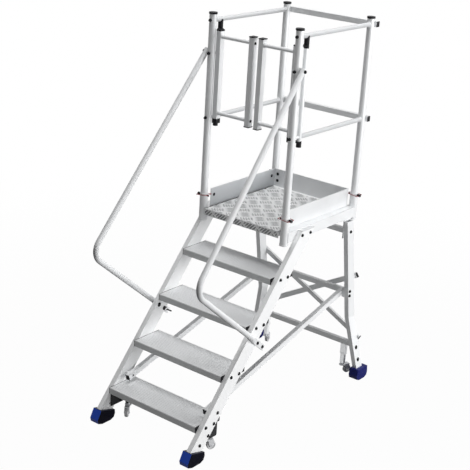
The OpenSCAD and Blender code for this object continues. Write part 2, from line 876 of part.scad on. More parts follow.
module post_back_right() {
  color(aluminium) placed() back_post();
}

module post_caps() {
  color(black) placed() both_sides()
    for (y = [post_front_y, post_back_y]) {
      bar_z([post_x, y], post_top, guard_top, cap_r);
      bar_z([post_x, y], post_top - cap_spigot, post_top + cap_thickness * half_share,
        post_r - post_wall - slip_clear);
    }
}

// Round rail along the side, shaped to the uprights at its ends
module side_rail(z, y_from, r_from) {
  difference() {
    bar_y([post_x, z], y_from, post_back_y, rail_r, round_facets);
    bar_y([post_x, z], y_from - overrun, post_back_y + overrun, rail_r - post_wall, round_facets);
    bar_z([post_x, y_from], z - cap_r, z + cap_r, r_from + slip_clear);
    bar_z([post_x, post_back_y], z - cap_r, z + cap_r, post_r + slip_clear);
  }
}

module top_rail_left() {
  color(aluminium) placed() mirror([1, 0, 0]) side_rail(top_rail_z, post_front_y, post_r);
}

module top_rail_right() {
  color(aluminium) placed() side_rail(top_rail_z, post_front_y, post_r);
}

module mid_rail_left() {
  color(aluminium) placed() mirror([1, 0, 0]) side_rail(mid_rail_z, hinge_y, hinge_r);
}

module mid_rail_right() {
  color(aluminium) placed() side_rail(mid_rail_z, hinge_y, hinge_r);
}

module back_rails() {
  reach = post_x + back_rail_overhang;
  tall = back_rail_height * half_share;
  color(aluminium) placed()
    for (z = [top_rail_z, mid_rail_z])
      difference() {
        block([-reach, rail_back_y, z - tall], [reach, rail_back_y + back_rail_depth, z + tall]);
        block([-reach - overrun, rail_back_y + bar_wall, z - tall + bar_wall],
          [reach + overrun, rail_back_y + back_rail_depth - bar_wall, z + tall - bar_wall]);
        for (x = [-post_x, post_x])
          bar_y([x, z], rail_back_y - overrun, rail_back_y + back_rail_depth + overrun, bolt_r + bolt_clear);
      }
}

// Fixed hinge tube with the two spacers that hold it off the post
module hinge_tube_solid() {
  difference() {
    union() {
      bar_z([post_x, hinge_y], hinge_foot, hinge_head, hinge_r);
      for (z = [hinge_spacer_z, mid_rail_z])
        bar_y([post_x, z], post_front_y, hinge_y, hinge_spacer_r);
    }
    bar_z([post_x, hinge_y], hinge_foot - overrun, hinge_head + overrun, hinge_r - post_wall);
    bar_z([post_x, post_front_y], hinge_foot, hinge_head, post_r + slip_clear);
    for (z = [hinge_spacer_z, mid_rail_z])
      bar_y([post_x, z], post_front_y, post_front_y + post_r + bolt_grip + bolt_head, bolt_r + bolt_clear);
  }
}

module hinge_tubes() {
  color(aluminium) placed() both_sides() hinge_tube_solid();
}

// Wire lock pin: shank through socket and post, head on the outer side
module locking_pins() {
  hinge_x = post_x + clip_hinge_reach;
  head = pin_head_length * half_share;
  color(steel) placed() both_sides()
    for (y = [post_front_y, post_back_y])
      difference() {
        union() {
          bar_x([y, pin_z], post_x - pin_reach, hinge_x, pin_r);
          bar_x([y, pin_z], hinge_x - head, hinge_x + head, pin_head_r);
        }
        bar_y([hinge_x, pin_z], y - pin_head_r - overrun, y + pin_head_r + overrun, wire_r + run_clear);
      }
}

// Wire bow that swings over the point of a locking pin
module clip_solid(y) {
  tilt = asin((pin_r + wire_r + wire_r * half_share) / bow_length);
  inner = pin_head_r - bow_grip;
  translate([post_x + clip_hinge_reach, y, pin_z]) rotate([0, tilt, 0]) {
    for (s = [-1, 1]) {
      bar_between([0, s * inner, 0], [0, s * bow_half, 0], wire_r, fine_facets);
      bar_between([0, s * bow_half, 0], [-bow_length, s * bow_half, 0], wire_r, fine_facets);
      for (x = [0, -bow_length])
        translate([x, s * bow_half, 0]) sphere(r = wire_r, $fn = fine_facets);
    }
    bar_between([-bow_length, -bow_half, 0], [-bow_length, bow_half, 0], wire_r, fine_facets);
  }
}

module clip_front_left() {
  color(red) placed() mirror([1, 0, 0]) clip_solid(post_front_y);
}

module clip_front_right() {
  color(red) placed() clip_solid(post_front_y);
}

module clip_back_left() {
  color(red) placed() mirror([1, 0, 0]) clip_solid(post_back_y);
}

module clip_back_right() {
  color(red) placed() clip_solid(post_back_y);
}

// Gate

// Upright hollow stile of a gate leaf
module gate_stile(x_from) {
  front = gate_y - gate_stile_depth * half_share;
  back = front + gate_stile_depth;
  difference() {
    block([x_from, front, gate_foot], [x_from + gate_stile_width, back, gate_head]);
    block([x_from + gate_wall, front + gate_wall, gate_foot - overrun],
      [x_from + gate_stile_width - gate_wall, back - gate_wall, gate_head + overrun]);
  }
}

module gate_leaf() {
  gate_stile(gate_close_x);
  gate_stile(gate_hinge_x - gate_stile_width);
  for (z = [gate_foot + gate_bar_inset, gate_head - gate_bar_inset])
    difference() {
      bar_x([gate_y, z], gate_close_x + gate_stile_width, gate_hinge_x - gate_stile_width, gate_bar_r,
        round_facets);
      bar_x([gate_y, z], gate_close_x, gate_hinge_x, gate_bar_r - gate_wall);
    }
}

module gate_left() {
  color(aluminium) placed() mirror([1, 0, 0]) gate_leaf();
}

module gate_right() {
  color(aluminium) placed() gate_leaf();
}

// Flat arm from the leaf's hinge stile to the hinge axis
module hinge_arm(z_from, z_to) {
  front = gate_y - gate_stile_depth * half_share;
  hull() {
    block([gate_hinge_x - gate_stile_width, front, z_from], [gate_hinge_x, front + gate_stile_depth, z_to]);
    bar_z([post_x, hinge_y], z_from, z_to, boss_r);
  }
}

module gate_fittings() {
  front = gate_y - gate_stile_depth * half_share;
  out = gate_cap_overhang;
  spigot_r = hinge_r - post_wall - run_clear;
  boss_head = hinge_foot - face_gap;
  arm_foot = boss_head - arm_thickness;
  for (z = [gate_foot - gate_cap, gate_head])
    block([gate_close_x - out, front - out, z],
      [gate_close_x + gate_stile_width + out, front + gate_stile_depth + out, z + gate_cap]);
  hinge_arm(gate_head, gate_head + arm_thickness);
  bar_z([post_x, hinge_y], hinge_head + face_gap, gate_head + arm_thickness, boss_r);
  bar_z([post_x, hinge_y], hinge_head - spigot_length, gate_head, spigot_r);
  hinge_arm(arm_foot, boss_head);
  block([gate_hinge_x - gate_stile_width, front, arm_foot],
    [gate_hinge_x, front + gate_stile_depth, gate_foot]);
  bar_z([post_x, hinge_y], arm_foot - lower_boss, boss_head, boss_r);
  bar_z([post_x, hinge_y], arm_foot, hinge_foot + spigot_length, spigot_r);
}

module gate_left_fittings() {
  color(black) placed() mirror([1, 0, 0]) gate_fittings();
}

module gate_right_fittings() {
  color(black) placed() gate_fittings();
}

// Handrails

// Points of one ring of the tube, from round to flattened by its roundness
function ring(mid, across, out, tall, deep, roundness) = [for (j = [0 : ring_facets - 1])
  let (turn = j * 360 / ring_facets, c = cos(turn), s = sin(turn))
  mid + across * (tall * sign(c) * pow(abs(c), roundness)) + out * (deep * sign(s) * pow(abs(s), roundness))];

// Rings of the straight and bent part for a radius, from the top end down
function hand_round_rings(r, past) = concat(
  [ring(hand_end + hand_up * past, hand_side, hand_normal, r, r, 1)],
  [for (k = [0 : bend_steps])
    let (way = hand_side * cos(hand_turn * k / bend_steps) + hand_ahead * sin(hand_turn * k / bend_steps))
    ring(hand_arc_mid + way * hand_bend, way, hand_normal, r, r, 1)],
  [ring(hand_taper_start, hand_low_side, hand_normal, r, r, 1)]);

// Rings of the flattened end that lies on the stile
function hand_flat_rings() = [for (mid = [hand_flat_start, hand_foot_point + hand_down * hand_flat_margin])
  ring([hand_flat_x, mid.y, mid.z], hand_flat_side, [sign(hand_normal.x), 0, 0],
    hand_flat_height * half_share, hand_flat * half_share, flat_roundness)];

// Closed skin over a chain of rings
module ring_skin(rings) {
  n = ring_facets;
  last = len(rings) - 1;
  sides = [for (i = [0 : last - 1]) for (j = [0 : n - 1]) for (upper = [true, false])
    let (k = (j + 1) % n)
    upper ? [i * n + j, i * n + k, i * n + n + j] : [i * n + k, i * n + n + k, i * n + n + j]];
  ends = [[for (j = [n - 1 : -1 : 0]) j], [for (j = [0 : n - 1]) last * n + j]];
  polyhedron([for (one = rings) for (point = one) point], concat(sides, ends), convexity = bend_steps);
}

// Tube bored from the top end down to the flattened part
module handrail_solid() {
  bore = hand_round_rings(hand_r - post_wall, 0);
  last = len(bore) - 1;
  difference() {
    ring_skin(concat([for (i = [0 : last]) bore[last - i]], hand_round_rings(hand_r, 0), hand_flat_rings()));
    bar_x([post_front_y, hand_top_z], post_x, hand_low_x + hand_r + hand_r, bolt_r + bolt_clear);
    holes_x(hand_bolts, stile_out - overrun, stile_out + hand_flat + hand_flat);
  }
}

module handrail_left() {
  color(aluminium) placed() mirror([1, 0, 0]) handrail_solid();
}

module handrail_right() {
  color(aluminium) placed() handrail_solid();
}

// Rear frame

// Leg as an upper leaning part and a lower flared part, walls set in
module leg_shape(inset, past) {
  low = rear_shoe_height - past;
  wide = stile_width - inset - inset;
  deep = leg_run - inset - inset;
  x = tread_half + inset;
  bend_y = leg_bend_back + inset;
  side_profile([[bend_y, leg_bend_height], [leg_front(leg_top + past) + inset, leg_top + past],
    [leg_front(leg_top + past) + inset + deep, leg_top + past], [bend_y + deep, leg_bend_height]],
    x, x + wide);
  slanted_box([x + leg_out(low), leg_front(low) + inset, low], [x, bend_y, leg_bend_height], wide, deep);
}

module rear_leg_solid() {
  difference() {
    leg_shape(0, 0);
    leg_shape(leg_wall, overrun);
    holes_x(concat([leg_top_bolt], brace_rear_bolts), tread_half - overrun, stile_out + overrun);
  }
}

module rear_leg_left() {
  color(aluminium) placed() mirror([1, 0, 0]) rear_leg_solid();
}

module rear_leg_right() {
  color(aluminium) placed() rear_leg_solid();
}

// Hanger plates under the side beams, brace spacers and diagonal spacers
module leg_brackets() {
  half_width = hanger_width * half_share;
  color(aluminium) placed() both_sides() {
    difference() {
      block([tread_half - hanger_thickness, leg_top_bolt[0] - half_width, top_bar_z - hanger_drop],
        [tread_half, leg_top_bolt[0] + half_width, beam_foot]);
      holes_x([leg_top_bolt], tread_half - hanger_thickness - overrun, tread_half + overrun);
    }
    difference() {
      bar_x(brace_front_bolt, tread_half - brace_spacer, tread_half, brace_spacer_r);
      holes_x([brace_front_bolt], tread_half - brace_spacer - overrun, tread_half + overrun);
    }
    difference() {
      block([tread_half - brace_spacer, brace_rear_back - brace_block_depth * half_share,
        brace_rear_height - brace_block_height * half_share],
        [tread_half, brace_rear_back + brace_block_depth * half_share,
        brace_rear_height + brace_block_height * half_share]);
      holes_x(brace_rear_bolts, tread_half - brace_spacer - overrun, tread_half + overrun);
    }
  }
  color(aluminium) placed() diagonal_frame()
    for (s = [-1, 1])
      mirror([1, 0, 0]) diagonal_way()
        translate([s * (diagonal_length * half_share - diagonal_past), 0, 0])
          bar_y([0, 0], diagonal_seat, diagonal_seat + diagonal_depth, diagonal_height * half_share);
}

// Frame of the plane the diagonals lie in, on the rear faces of the legs
module diagonal_frame() {
  translate([0, (diagonal_top_y + diagonal_low_y) * half_share, (diagonal_high + diagonal_low) * half_share])
    rotate([diagonal_tilt, 0, 0]) children();
}

// Direction of the first diagonal inside that plane
module diagonal_way() {
  translate([diagonal_shift, 0, 0]) rotate([0, diagonal_angle, 0]) children();
}

// Flat tube of a diagonal, seated at a depth
module diagonal_tube(seat) {
  long = diagonal_length * half_share;
  tall = diagonal_height * half_share;
  difference() {
    block([-long, seat, -tall], [long, seat + diagonal_depth, tall]);
    block([-long - overrun, seat + bar_wall, bar_wall - tall],
      [long + overrun, seat + diagonal_depth - bar_wall, tall - bar_wall]);
  }
}

module rear_diagonals() {
  color(aluminium) placed() diagonal_frame() {
    diagonal_way() diagonal_tube(diagonal_seat);
    mirror([1, 0, 0]) diagonal_way() diagonal_tube(diagonal_second);
  }
}

// Lower bar between the flared legs, mitred to their inner faces
module lower_bar() {
  low = lower_bar_foot;
  high = low + cross_height;
  deep = cross_depth * half_share;
  y = leg_mid(lower_bar_height);
  x_low = tread_half + leg_out(low);
  x_high = tread_half + leg_out(high);
  difference() {
    translate([0, y + deep, 0]) rotate([90, 0, 0]) linear_extrude(height = cross_depth)
      polygon([[-x_low, low], [x_low, low], [x_high, high], [-x_high, high]]);
    block([-x_low - overrun, y - deep + bar_wall, low + bar_wall],
      [x_low + overrun, y + deep - bar_wall, high - bar_wall]);
  }
}

module upper_bar() {
  deep = cross_depth * half_share;
  tall = cross_height * half_share;
  z = upper_bar_height;
  difference() {
    block([-tread_half, upper_bar_y - deep, z - tall], [tread_half, upper_bar_y + deep, z + tall]);
    block([-tread_half - overrun, upper_bar_y - deep + bar_wall, z - tall + bar_wall],
      [tread_half + overrun, upper_bar_y + deep - bar_wall, z + tall - bar_wall]);
  }
}

module top_bar() {
  reach = tread_half - hanger_thickness;
  side = top_bar_side * half_share;
  difference() {
    block([-reach, leg_top_bolt[0] - side, top_bar_z - side],
      [reach, leg_top_bolt[0] + side, top_bar_z + side]);
    both_sides()
      bar_x(leg_top_bolt, reach - bolt_grip - bolt_grip, reach + overrun, bolt_r + bolt_clear);
  }
}

module rear_bars() {
  color(aluminium) placed() {
    lower_bar();
    upper_bar();
    top_bar();
  }
}

// Sloping tube inside the stiles and legs
module brace_solid() {
  run = brace_rear_back - brace_front_back;
  long = run / cos(brace_angle);
  tall = brace_height * half_share;
  difference() {
    translate([brace_x, brace_front_back, brace_front_height]) rotate([brace_angle, 0, 0])
      difference() {
        block([0, -brace_past, -tall], [brace_width, long + brace_rear_past, tall]);
        block([bar_wall, -brace_past - overrun, bar_wall - tall],
          [brace_width - bar_wall, long + brace_rear_past + overrun, tall - bar_wall]);
      }
    holes_x([brace_front_bolt], brace_x - overrun, brace_x + brace_width + overrun);
  }
}

module side_braces() {
  color(aluminium) placed() both_sides() brace_solid();
}

module tube_plugs() {
  reach = post_x + back_rail_overhang;
  rail_tall = back_rail_height * half_share;
  brace_tall = brace_height * half_share;
  long = diagonal_length * half_share;
  tall = diagonal_height * half_share;
  color(black) placed() {
    both_sides() {
      side_profile([[stile_front(stile_top), stile_top], [stile_front(stile_top), stile_top + plug_thickness],
        [stile_front(stile_top) + stile_run, stile_top + plug_thickness],
        [stile_front(stile_top) + stile_run, stile_top]], tread_half, stile_out);
      for (z = [top_rail_z, mid_rail_z])
        block([reach, rail_back_y, z - rail_tall],
          [reach + plug_thickness, rail_back_y + back_rail_depth, z + rail_tall]);
      translate([brace_x, brace_front_back, brace_front_height]) rotate([brace_angle, 0, 0])
        block([0, -brace_past - plug_thickness, -brace_tall], [brace_width, -brace_past, brace_tall]);
      difference() {
        bar_z([post_x, hinge_y], gate_head + arm_thickness + overrun, top_rail_z, boss_r);
        bar_y([post_x, top_rail_z], hinge_y - cap_r, hinge_y + cap_r, rail_r + slip_clear, round_facets);
      }
    }
    diagonal_frame()
      for (s = [-1, 1]) {
        diagonal_way()
          diagonal_plug(s * long, s, diagonal_seat, tall);
        mirror([1, 0, 0]) diagonal_way()
          diagonal_plug(s * long, s, diagonal_second, tall);
      }
  }
}

// Plug on one end of a diagonal
module diagonal_plug(end, way, seat, tall) {
  block([min(end, end + way * plug_thickness), seat, -tall],
    [max(end, end + way * plug_thickness), seat + diagonal_depth, tall]);
}

// Feet

module front_shoe() {
  middle = tread_half + stile_width * half_share;
  wide = shoe_width * half_share;
  inset = stile_wall_run + slip_clear;
  head = shoe_cut_front + shoe_spigot;
  foot = shoe_cut_rear - shoe_toe_height;
  difference() {
    union() {
      side_profile([[-shoe_top_ahead, shoe_top_height], [shoe_heel_back, shoe_heel_height],
        [shoe_heel_back + shoe_inset * half_share, shoe_belly_height],
        [shoe_heel_back - shoe_inset, shoe_toe_height], [shoe_heel_back - shoe_toe, 0],
        [shoe_toe - shoe_ahead + shoe_inset, 0], [shoe_inset - shoe_ahead, shoe_toe_height],
        [-shoe_ahead, shoe_belly_height]], middle - wide, middle + wide);
      side_profile([[stile_front(foot) + inset, foot], [stile_front(head) + inset, head],
        [stile_front(head) + stile_run - inset, head], [stile_front(foot) + stile_run - inset, foot]],
        tread_half + stile_wall + slip_clear, stile_out - stile_wall - slip_clear);
    }
    holes_x([foot_bolt, castor_bolt], tread_half - overrun, stile_out + overrun);
  }
}

module front_feet() {
  color(blue) placed() both_sides() front_shoe();
}

module rear_shoe() {
  wide = shoe_width * half_share;
  inset = leg_wall + slip_clear;
  low = rear_shoe_height - overrun;
  high = rear_shoe_height + shoe_spigot;
  x = tread_half + inset;
  long = rear_shoe_half;
  translate([0, rear_shoe_y, 0])
    side_profile([[rear_shoe_inset - long, rear_shoe_height], [long - rear_shoe_inset, rear_shoe_height],
      [long, shoe_belly_height], [long - shoe_inset, shoe_toe_height], [long - shoe_toe, 0],
      [shoe_toe - long, 0], [shoe_inset - long, shoe_toe_height], [-long, shoe_belly_height]],
      rear_shoe_x - wide, rear_shoe_x + wide);
  slanted_box([x + leg_out(low), leg_front(low) + inset, low],
    [x + leg_out(high), leg_front(high) + inset, high],
    stile_width - inset - inset, leg_run - inset - inset);
}

module rear_feet() {
  color(blue) placed() both_sides() rear_shoe();
}

// Castors

// Barrel that guides a castor's stem and holds its spring
module housing_barrel() {
  difference() {
    bar_z([0, 0], housing_foot, housing_top, housing_r);
    bar_z([0, 0], housing_foot - overrun, guide_top + overrun, stem_r + run_clear);
    bar_z([0, 0], guide_top, housing_top - castor_plate, chamber_r);
    bar_z([0, 0], housing_top - castor_plate - overrun, housing_top + overrun, stem_r * half_share);
  }
}

module castor_housings() {
  web = castor_web * half_share;
  deep = cross_depth * half_share;
  web_foot = castor_bolt_height - castor_web_height * half_share;
  web_head = web_foot + castor_web_height;
  gusset_foot = housing_foot + gusset_lift;
  gusset_top = first_rise - tread_height;
  color(black) placed() both_sides() {
    translate([front_castor_x, front_castor_back, 0]) housing_barrel();
    difference() {
      union() {
        side_profile([[gusset_front, gusset_foot], [gusset_front, gusset_top], [gusset_back, gusset_top],
          [gusset_back, gusset_foot + gusset_corner], [gusset_back - gusset_corner, gusset_foot]],
          tread_half - castor_plate, tread_half);
        block([front_castor_x, front_castor_back - web, web_foot],
          [tread_half, front_castor_back + web, web_head]);
      }
      holes_x([castor_bolt], tread_half - castor_plate - overrun, tread_half + overrun);
      bar_z([front_castor_x, front_castor_back], web_foot - overrun, web_head + overrun,
        (housing_r + chamber_r) * half_share);
    }
    translate([rear_castor_out, rear_castor_y, 0]) {
      housing_barrel();
      difference() {
        block([-housing_r, -deep, housing_top - castor_plate], [housing_r, deep, lower_bar_foot]);
        bar_z([0, 0], housing_top - castor_plate - overrun, lower_bar_foot + overrun, stem_r * half_share);
      }
    }
  }
}

// Places a castor piece on its swivel axis, turned to its trail direction
module on_castor(side, rear, turn) {
  x = rear ? rear_castor_out : front_castor_x;
  y = rear ? rear_castor_y : front_castor_back;
  placed() translate([side * x, y, 0]) rotate([0, 0, turn]) children();
}

module castor_stem() {
  bar_z([0, 0], fork_foot - face_gap - flange_thickness, stop_foot + stop_thickness, stem_r);
  bar_z([0, 0], fork_foot - face_gap - flange_thickness, fork_foot - face_gap, flange_r);
  bar_z([0, 0], fork_top + face_gap, flange_top, flange_r);
  bar_z([0, 0], stop_foot, stop_foot + stop_thickness, stop_r);
}

module castor_fork() {
  inner = wheel_width * half_share + cheek_gap;
  difference() {
    union() {
      bar_z([0, 0], fork_foot, fork_top, fork_r);
      hull() {
        bar_z([0, 0], fork_foot, fork_top, inner + cheek_thickness);
        block([castor_trail - cheek_r, -inner - cheek_thickness, fork_foot],
          [castor_trail + cheek_r, inner + cheek_thickness, fork_top]);
      }
    }
    bar_z([0, 0], fork_foot - overrun, fork_top + overrun, stem_r + run_clear);
  }
  for (s = [-1, 1])
    translate([0, s * (inner + cheek_thickness * half_share), 0])
      hull() {
        bar_y([castor_trail, wheel_z], -cheek_thickness * half_share, cheek_thickness * half_share, cheek_r,
          round_facets);
        block([castor_trail - cheek_r - cheek_r, -cheek_thickness * half_share, fork_foot],
          [castor_trail + cheek_r, cheek_thickness * half_share, fork_top]);
      }
  bar_y([castor_trail, wheel_z], -inner - cheek_thickness - cheek_thickness,
    inner + cheek_thickness + cheek_thickness, axle_r);
}

module castor_wheel() {
  wide = wheel_width * half_share;
  rim = wheel_r - wheel_edge - wheel_edge;
  translate([castor_trail, 0, wheel_z]) rotate([90, 0, 0])
    rotate_extrude($fn = round_facets)
      polygon([[axle_r + run_clear, -wide], [hub_r, -wide], [hub_r, wheel_dish - wide],
        [rim, wheel_dish - wide], [rim, -wide], [wheel_r - wheel_edge, -wide],
        [wheel_r, wheel_edge - wide], [wheel_r, wide - wheel_edge],
        [wheel_r - wheel_edge, wide], [rim, wide], [rim, wide - wheel_dish], [hub_r, wide - wheel_dish],
        [hub_r, wide], [axle_r + run_clear, wide]]);
}

module stem_front_left() {
  color(steel) on_castor(-1, false, castor_turn_front_left) castor_stem();
}

module stem_front_right() {
  color(steel) on_castor(1, false, castor_turn_front_right) castor_stem();
}

module stem_rear_left() {
  color(steel) on_castor(-1, true, castor_turn_rear_left) castor_stem();
}

module stem_rear_right() {
  color(steel) on_castor(1, true, castor_turn_rear_right) castor_stem();
}

module fork_front_left() {
  color(steel) on_castor(-1, false, castor_turn_front_left) castor_fork();
}

module fork_front_right() {
  color(steel) on_castor(1, false, castor_turn_front_right) castor_fork();
}

module fork_rear_left() {
  color(steel) on_castor(-1, true, castor_turn_rear_left) castor_fork();
}

module fork_rear_right() {
  color(steel) on_castor(1, true, castor_turn_rear_right) castor_fork();
}

module wheel_front_left() {
  color(black) on_castor(-1, false, castor_turn_front_left) castor_wheel();
}

module wheel_front_right() {
  color(black) on_castor(1, false, castor_turn_front_right) castor_wheel();
}

module wheel_rear_left() {
  color(black) on_castor(-1, true, castor_turn_rear_left) castor_wheel();
}

module wheel_rear_right() {
  color(black) on_castor(1, true, castor_turn_rear_right) castor_wheel();
}

// Fasteners

module bolts() {
  color(black) placed() both_sides() {
    for (at = tread_bolts)
      bolt_x(at, tread_half - tread_cap - bolt_grip, stile_out);
    for (at = stile_top_bolts)
      bolt_x(at, tread_half - beam_wall - bolt_grip * half_share, stile_out);
    for (at = hand_bolts)
      bolt_x(at, tread_half - bolt_head, stile_out + slip_clear + hand_flat);
    bolt_x(brace_front_bolt, brace_x - bolt_head, stile_out);
    bolt_x(castor_bolt, tread_half - castor_plate - bolt_head, stile_out);
    bolt_x(foot_bolt, tread_half, stile_out);
    bolt_x(leg_top_bolt, tread_half - hanger_thickness - bolt_grip, stile_out);
    for (at = brace_rear_bolts)
      bolt_x(at, tread_half - brace_spacer + bolt_head, stile_out);
    bolt_x([post_front_y, hand_top_z], post_x + bolt_head, hand_top_x + hand_r);
    saddle_bolt(post_x, post_front_y, top_rail_z, post_r, post_front_y + post_r + bolt_grip);
    for (z = [hinge_spacer_z, mid_rail_z])
      saddle_bolt(post_x, post_front_y, z, post_r, post_front_y + post_r + bolt_grip);
    for (z = [top_rail_z, mid_rail_z]) {
      rear = rail_back_y + back_rail_depth;
      bar_y([post_x, z], post_back_y - post_r - bolt_grip * half_share, rear + bolt_head * half_share,
        bolt_r);
      bar_y([post_x, z], rear, rear + bolt_head, bolt_head_r, hex_sides);
    }
  }
}

// Assembly

stile_left();
stile_right();
tread_1();
tread_2();
tread_3();
tread_4();
tread_end_caps();
deck();
deck_bearers();
side_beam_left();
side_beam_right();
toe_board_left();
toe_board_right();
toe_board_back();
post_sockets();
rear_leg_left();
rear_leg_right();
leg_brackets();
rear_bars();
rear_diagonals();
side_braces();
front_feet();
rear_feet();
post_front_left();
post_front_right();
post_back_left();
post_back_right();
top_rail_left();
top_rail_right();
mid_rail_left();
mid_rail_right();
back_rails();
tube_plugs();
post_caps();
hinge_tubes();
handrail_left();
handrail_right();
locking_pins();
bolts();
castor_housings();
gate_left();
gate_left_fittings();
gate_right();
gate_right_fittings();
clip_front_left();
clip_front_right();
clip_back_left();
clip_back_right();
stem_front_left();
stem_front_right();
stem_rear_left();
stem_rear_right();
fork_front_left();
fork_front_right();
fork_rear_left();
fork_rear_right();
wheel_front_left();
wheel_front_right();
wheel_rear_left();
wheel_rear_right();
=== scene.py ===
"""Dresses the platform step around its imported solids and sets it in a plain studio."""
import json
import logging
import math
from abc import ABC, abstractmethod
from dataclasses import dataclass
from enum import Enum
from typing import Any, Callable, ClassVar, Dict, Iterable, List, Optional, Sequence, Tuple, Union

import bmesh
import bpy
from bpy.types import Material, Mesh, Node, NodeSocket, NodeTree, Object
from mathutils import Matrix, Vector
from mathutils.bvhtree import BVHTree


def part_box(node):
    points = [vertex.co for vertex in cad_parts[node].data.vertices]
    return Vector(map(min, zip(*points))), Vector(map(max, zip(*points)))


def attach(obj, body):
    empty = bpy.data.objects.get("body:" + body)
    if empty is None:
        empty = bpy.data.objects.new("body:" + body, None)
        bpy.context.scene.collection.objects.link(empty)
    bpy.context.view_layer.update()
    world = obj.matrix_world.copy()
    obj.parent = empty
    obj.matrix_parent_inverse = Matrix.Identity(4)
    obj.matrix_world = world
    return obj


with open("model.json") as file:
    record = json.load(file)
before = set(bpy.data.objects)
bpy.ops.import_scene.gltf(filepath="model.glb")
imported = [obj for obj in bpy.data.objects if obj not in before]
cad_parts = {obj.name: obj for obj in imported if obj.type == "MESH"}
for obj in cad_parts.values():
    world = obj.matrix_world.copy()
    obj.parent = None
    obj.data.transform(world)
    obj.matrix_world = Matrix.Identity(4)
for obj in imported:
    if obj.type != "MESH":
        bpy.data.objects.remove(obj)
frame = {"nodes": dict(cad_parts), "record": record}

Colour = Tuple[float, float, float, float]
Triple = Tuple[float, float, float]
Pair = Tuple[float, float]
Spot = Tuple[Triple, Triple]
Inputs = Dict[Union[str, int], Any]
Paints = Dict[str, Material]
LOG = logging.getLogger("platform_step")
SIDES = ("left", "right")
WAYS = (-1, 1)
ENDS = ("front", "rear")
WHITE: Colour = (1.0, 1.0, 1.0, 1.0)
# Slope of the stiles, in radians.
STAIR_TILT = 0.865
# How far a weld drop stands off its joint, as a share of its radius.
SEAM_OFFSET = 0.3
# Digits of a metre that tell two corners apart.
DIGITS = 5


def grey(level: float, step: float = 0.01) -> Colour:
    """A faintly blue grey, from its red share and what green adds to red, and blue to green."""
    return level, level + step, level + 2 * step, 1.0


class Bench:
    """Adds nodes to one node tree."""

    BEVEL_SAMPLES = 4
    EDGE_FADE = (0.02, 0.25)

    def __init__(self, tree: NodeTree) -> None:
        """Keeps the tree that the nodes go into."""
        self.tree = tree

    @classmethod
    def of(cls, owner: Any) -> "Bench":
        """Empties a node tree and takes it.

        Args:
            owner: the material or world that has the tree.

        Returns:
            The bench of the tree.
        """
        owner.use_nodes = True
        owner.node_tree.nodes.clear()
        return cls(owner.node_tree)

    def node(self, kind: str, inputs: Optional[Inputs] = None, **settings: Any) -> Node:
        """Adds one node.

        Args:
            kind: Blender's type name of the node.
            inputs: plain values, values, nodes or sockets for the node's inputs.
            settings: properties of the node, set before its inputs.

        Returns:
            The new node.
        """
        made = self.tree.nodes.new(kind)
        for name, value in settings.items():
            setattr(made, name, value)
        for key, value in (inputs or {}).items():
            self._feed(made.inputs[key], value)
        return made

    def value(self, kind: str, inputs: Optional[Inputs] = None, output: Union[str, int] = 0,
              **settings: Any) -> "Value":
        """Adds one node and wraps one of its outputs as a value for expressions."""
        return Value(self, self.node(kind, inputs, **settings).outputs[output])

    def mix(self, factor: Any, first: Any, second: Any) -> NodeSocket:
        """Mixes two colours by the share of the second one."""
        return self.node("ShaderNodeMix", {0: factor, 6: first, 7: second}, data_type="RGBA").outputs[2]

    def vector(self, operation: str, first: Any, second: Any) -> NodeSocket:
        """Adds one Vector Math node and returns its vector output."""
        return self.node("ShaderNodeVectorMath", {0: first, 1: second}, operation=operation).outputs[0]

    def length(self, vector: Any) -> "Value":
        """Length of a vector."""
        return self.value("ShaderNodeVectorMath", {0: vector}, "Value", operation="LENGTH")

    def join(self, x: Any = 0.0, y: Any = 0.0, z: Any = 0.0) -> Node:
        """Joins three numbers to a vector."""
        return self.node("ShaderNodeCombineXYZ", {0: x, 1: y, 2: z})

    def part(self, vector: Any, axis: int) -> "Value":
        """One coordinate of a vector."""
        return self.value("ShaderNodeSeparateXYZ", {0: vector}, axis)

    def facing(self, axis: int, normal: str = "True Normal") -> "Value":
        """How far a face looks along one axis, from -1 to 1."""
        return self.part(self.node("ShaderNodeNewGeometry").outputs[normal], axis)

    def place(self) -> NodeSocket:
        """Object coordinates."""
        return self.node("ShaderNodeTexCoord").outputs["Object"]

    def noise(self, where: Any, scale: float, detail: float = 2.0) -> "Value":
        """One noise texture, about 0.5, by its cells in a metre and its finer layers."""
        return self.value("ShaderNodeTexNoise", {"Vector": where, "Scale": scale, "Detail": detail})

    def bump(self, height: "Value", depth: float, strength: float, normal: Any = None) -> Node:
        """One bump node.

        Args:
            height: height from 0 to 1.
            depth: what a height of 1 stands for, in metres.
            strength: share of the effect.
            normal: normal to start from, if not the surface's own.

        Returns:
            The bump node.
        """
        inputs = {"Height": height, "Distance": depth, "Strength": strength}
        if normal is not None:
            inputs["Normal"] = normal
        return self.node("ShaderNodeBump", inputs)

    def edges(self, radius: float) -> Tuple[NodeSocket, "Value"]:
        """Finds the edges of a piece.

        Args:
            radius: radius of the softened edges, in metres.

        Returns:
            The softened normal and a mask that is 1 on edges.
        """
        soft = self.node("ShaderNodeBevel", {"Radius": radius}, samples=self.BEVEL_SAMPLES).outputs[0]
        flat = self.node("ShaderNodeNewGeometry").outputs["Normal"]
        same = self.value("ShaderNodeVectorMath", {0: soft, 1: flat}, "Value", operation="DOT_PRODUCT")
        return soft, (1.0 - same).fade(*self.EDGE_FADE)

    def _feed(self, socket: NodeSocket, value: Any) -> None:
        """Links or sets one input.

        Args:
            socket: the input.
            value: what it gets.
        """
        if isinstance(value, Value):
            value = value.socket
        if isinstance(value, Node):
            value = value.outputs[0]
        if isinstance(value, NodeSocket):
            self.tree.links.new(value, socket)
        else:
            socket.default_value = value


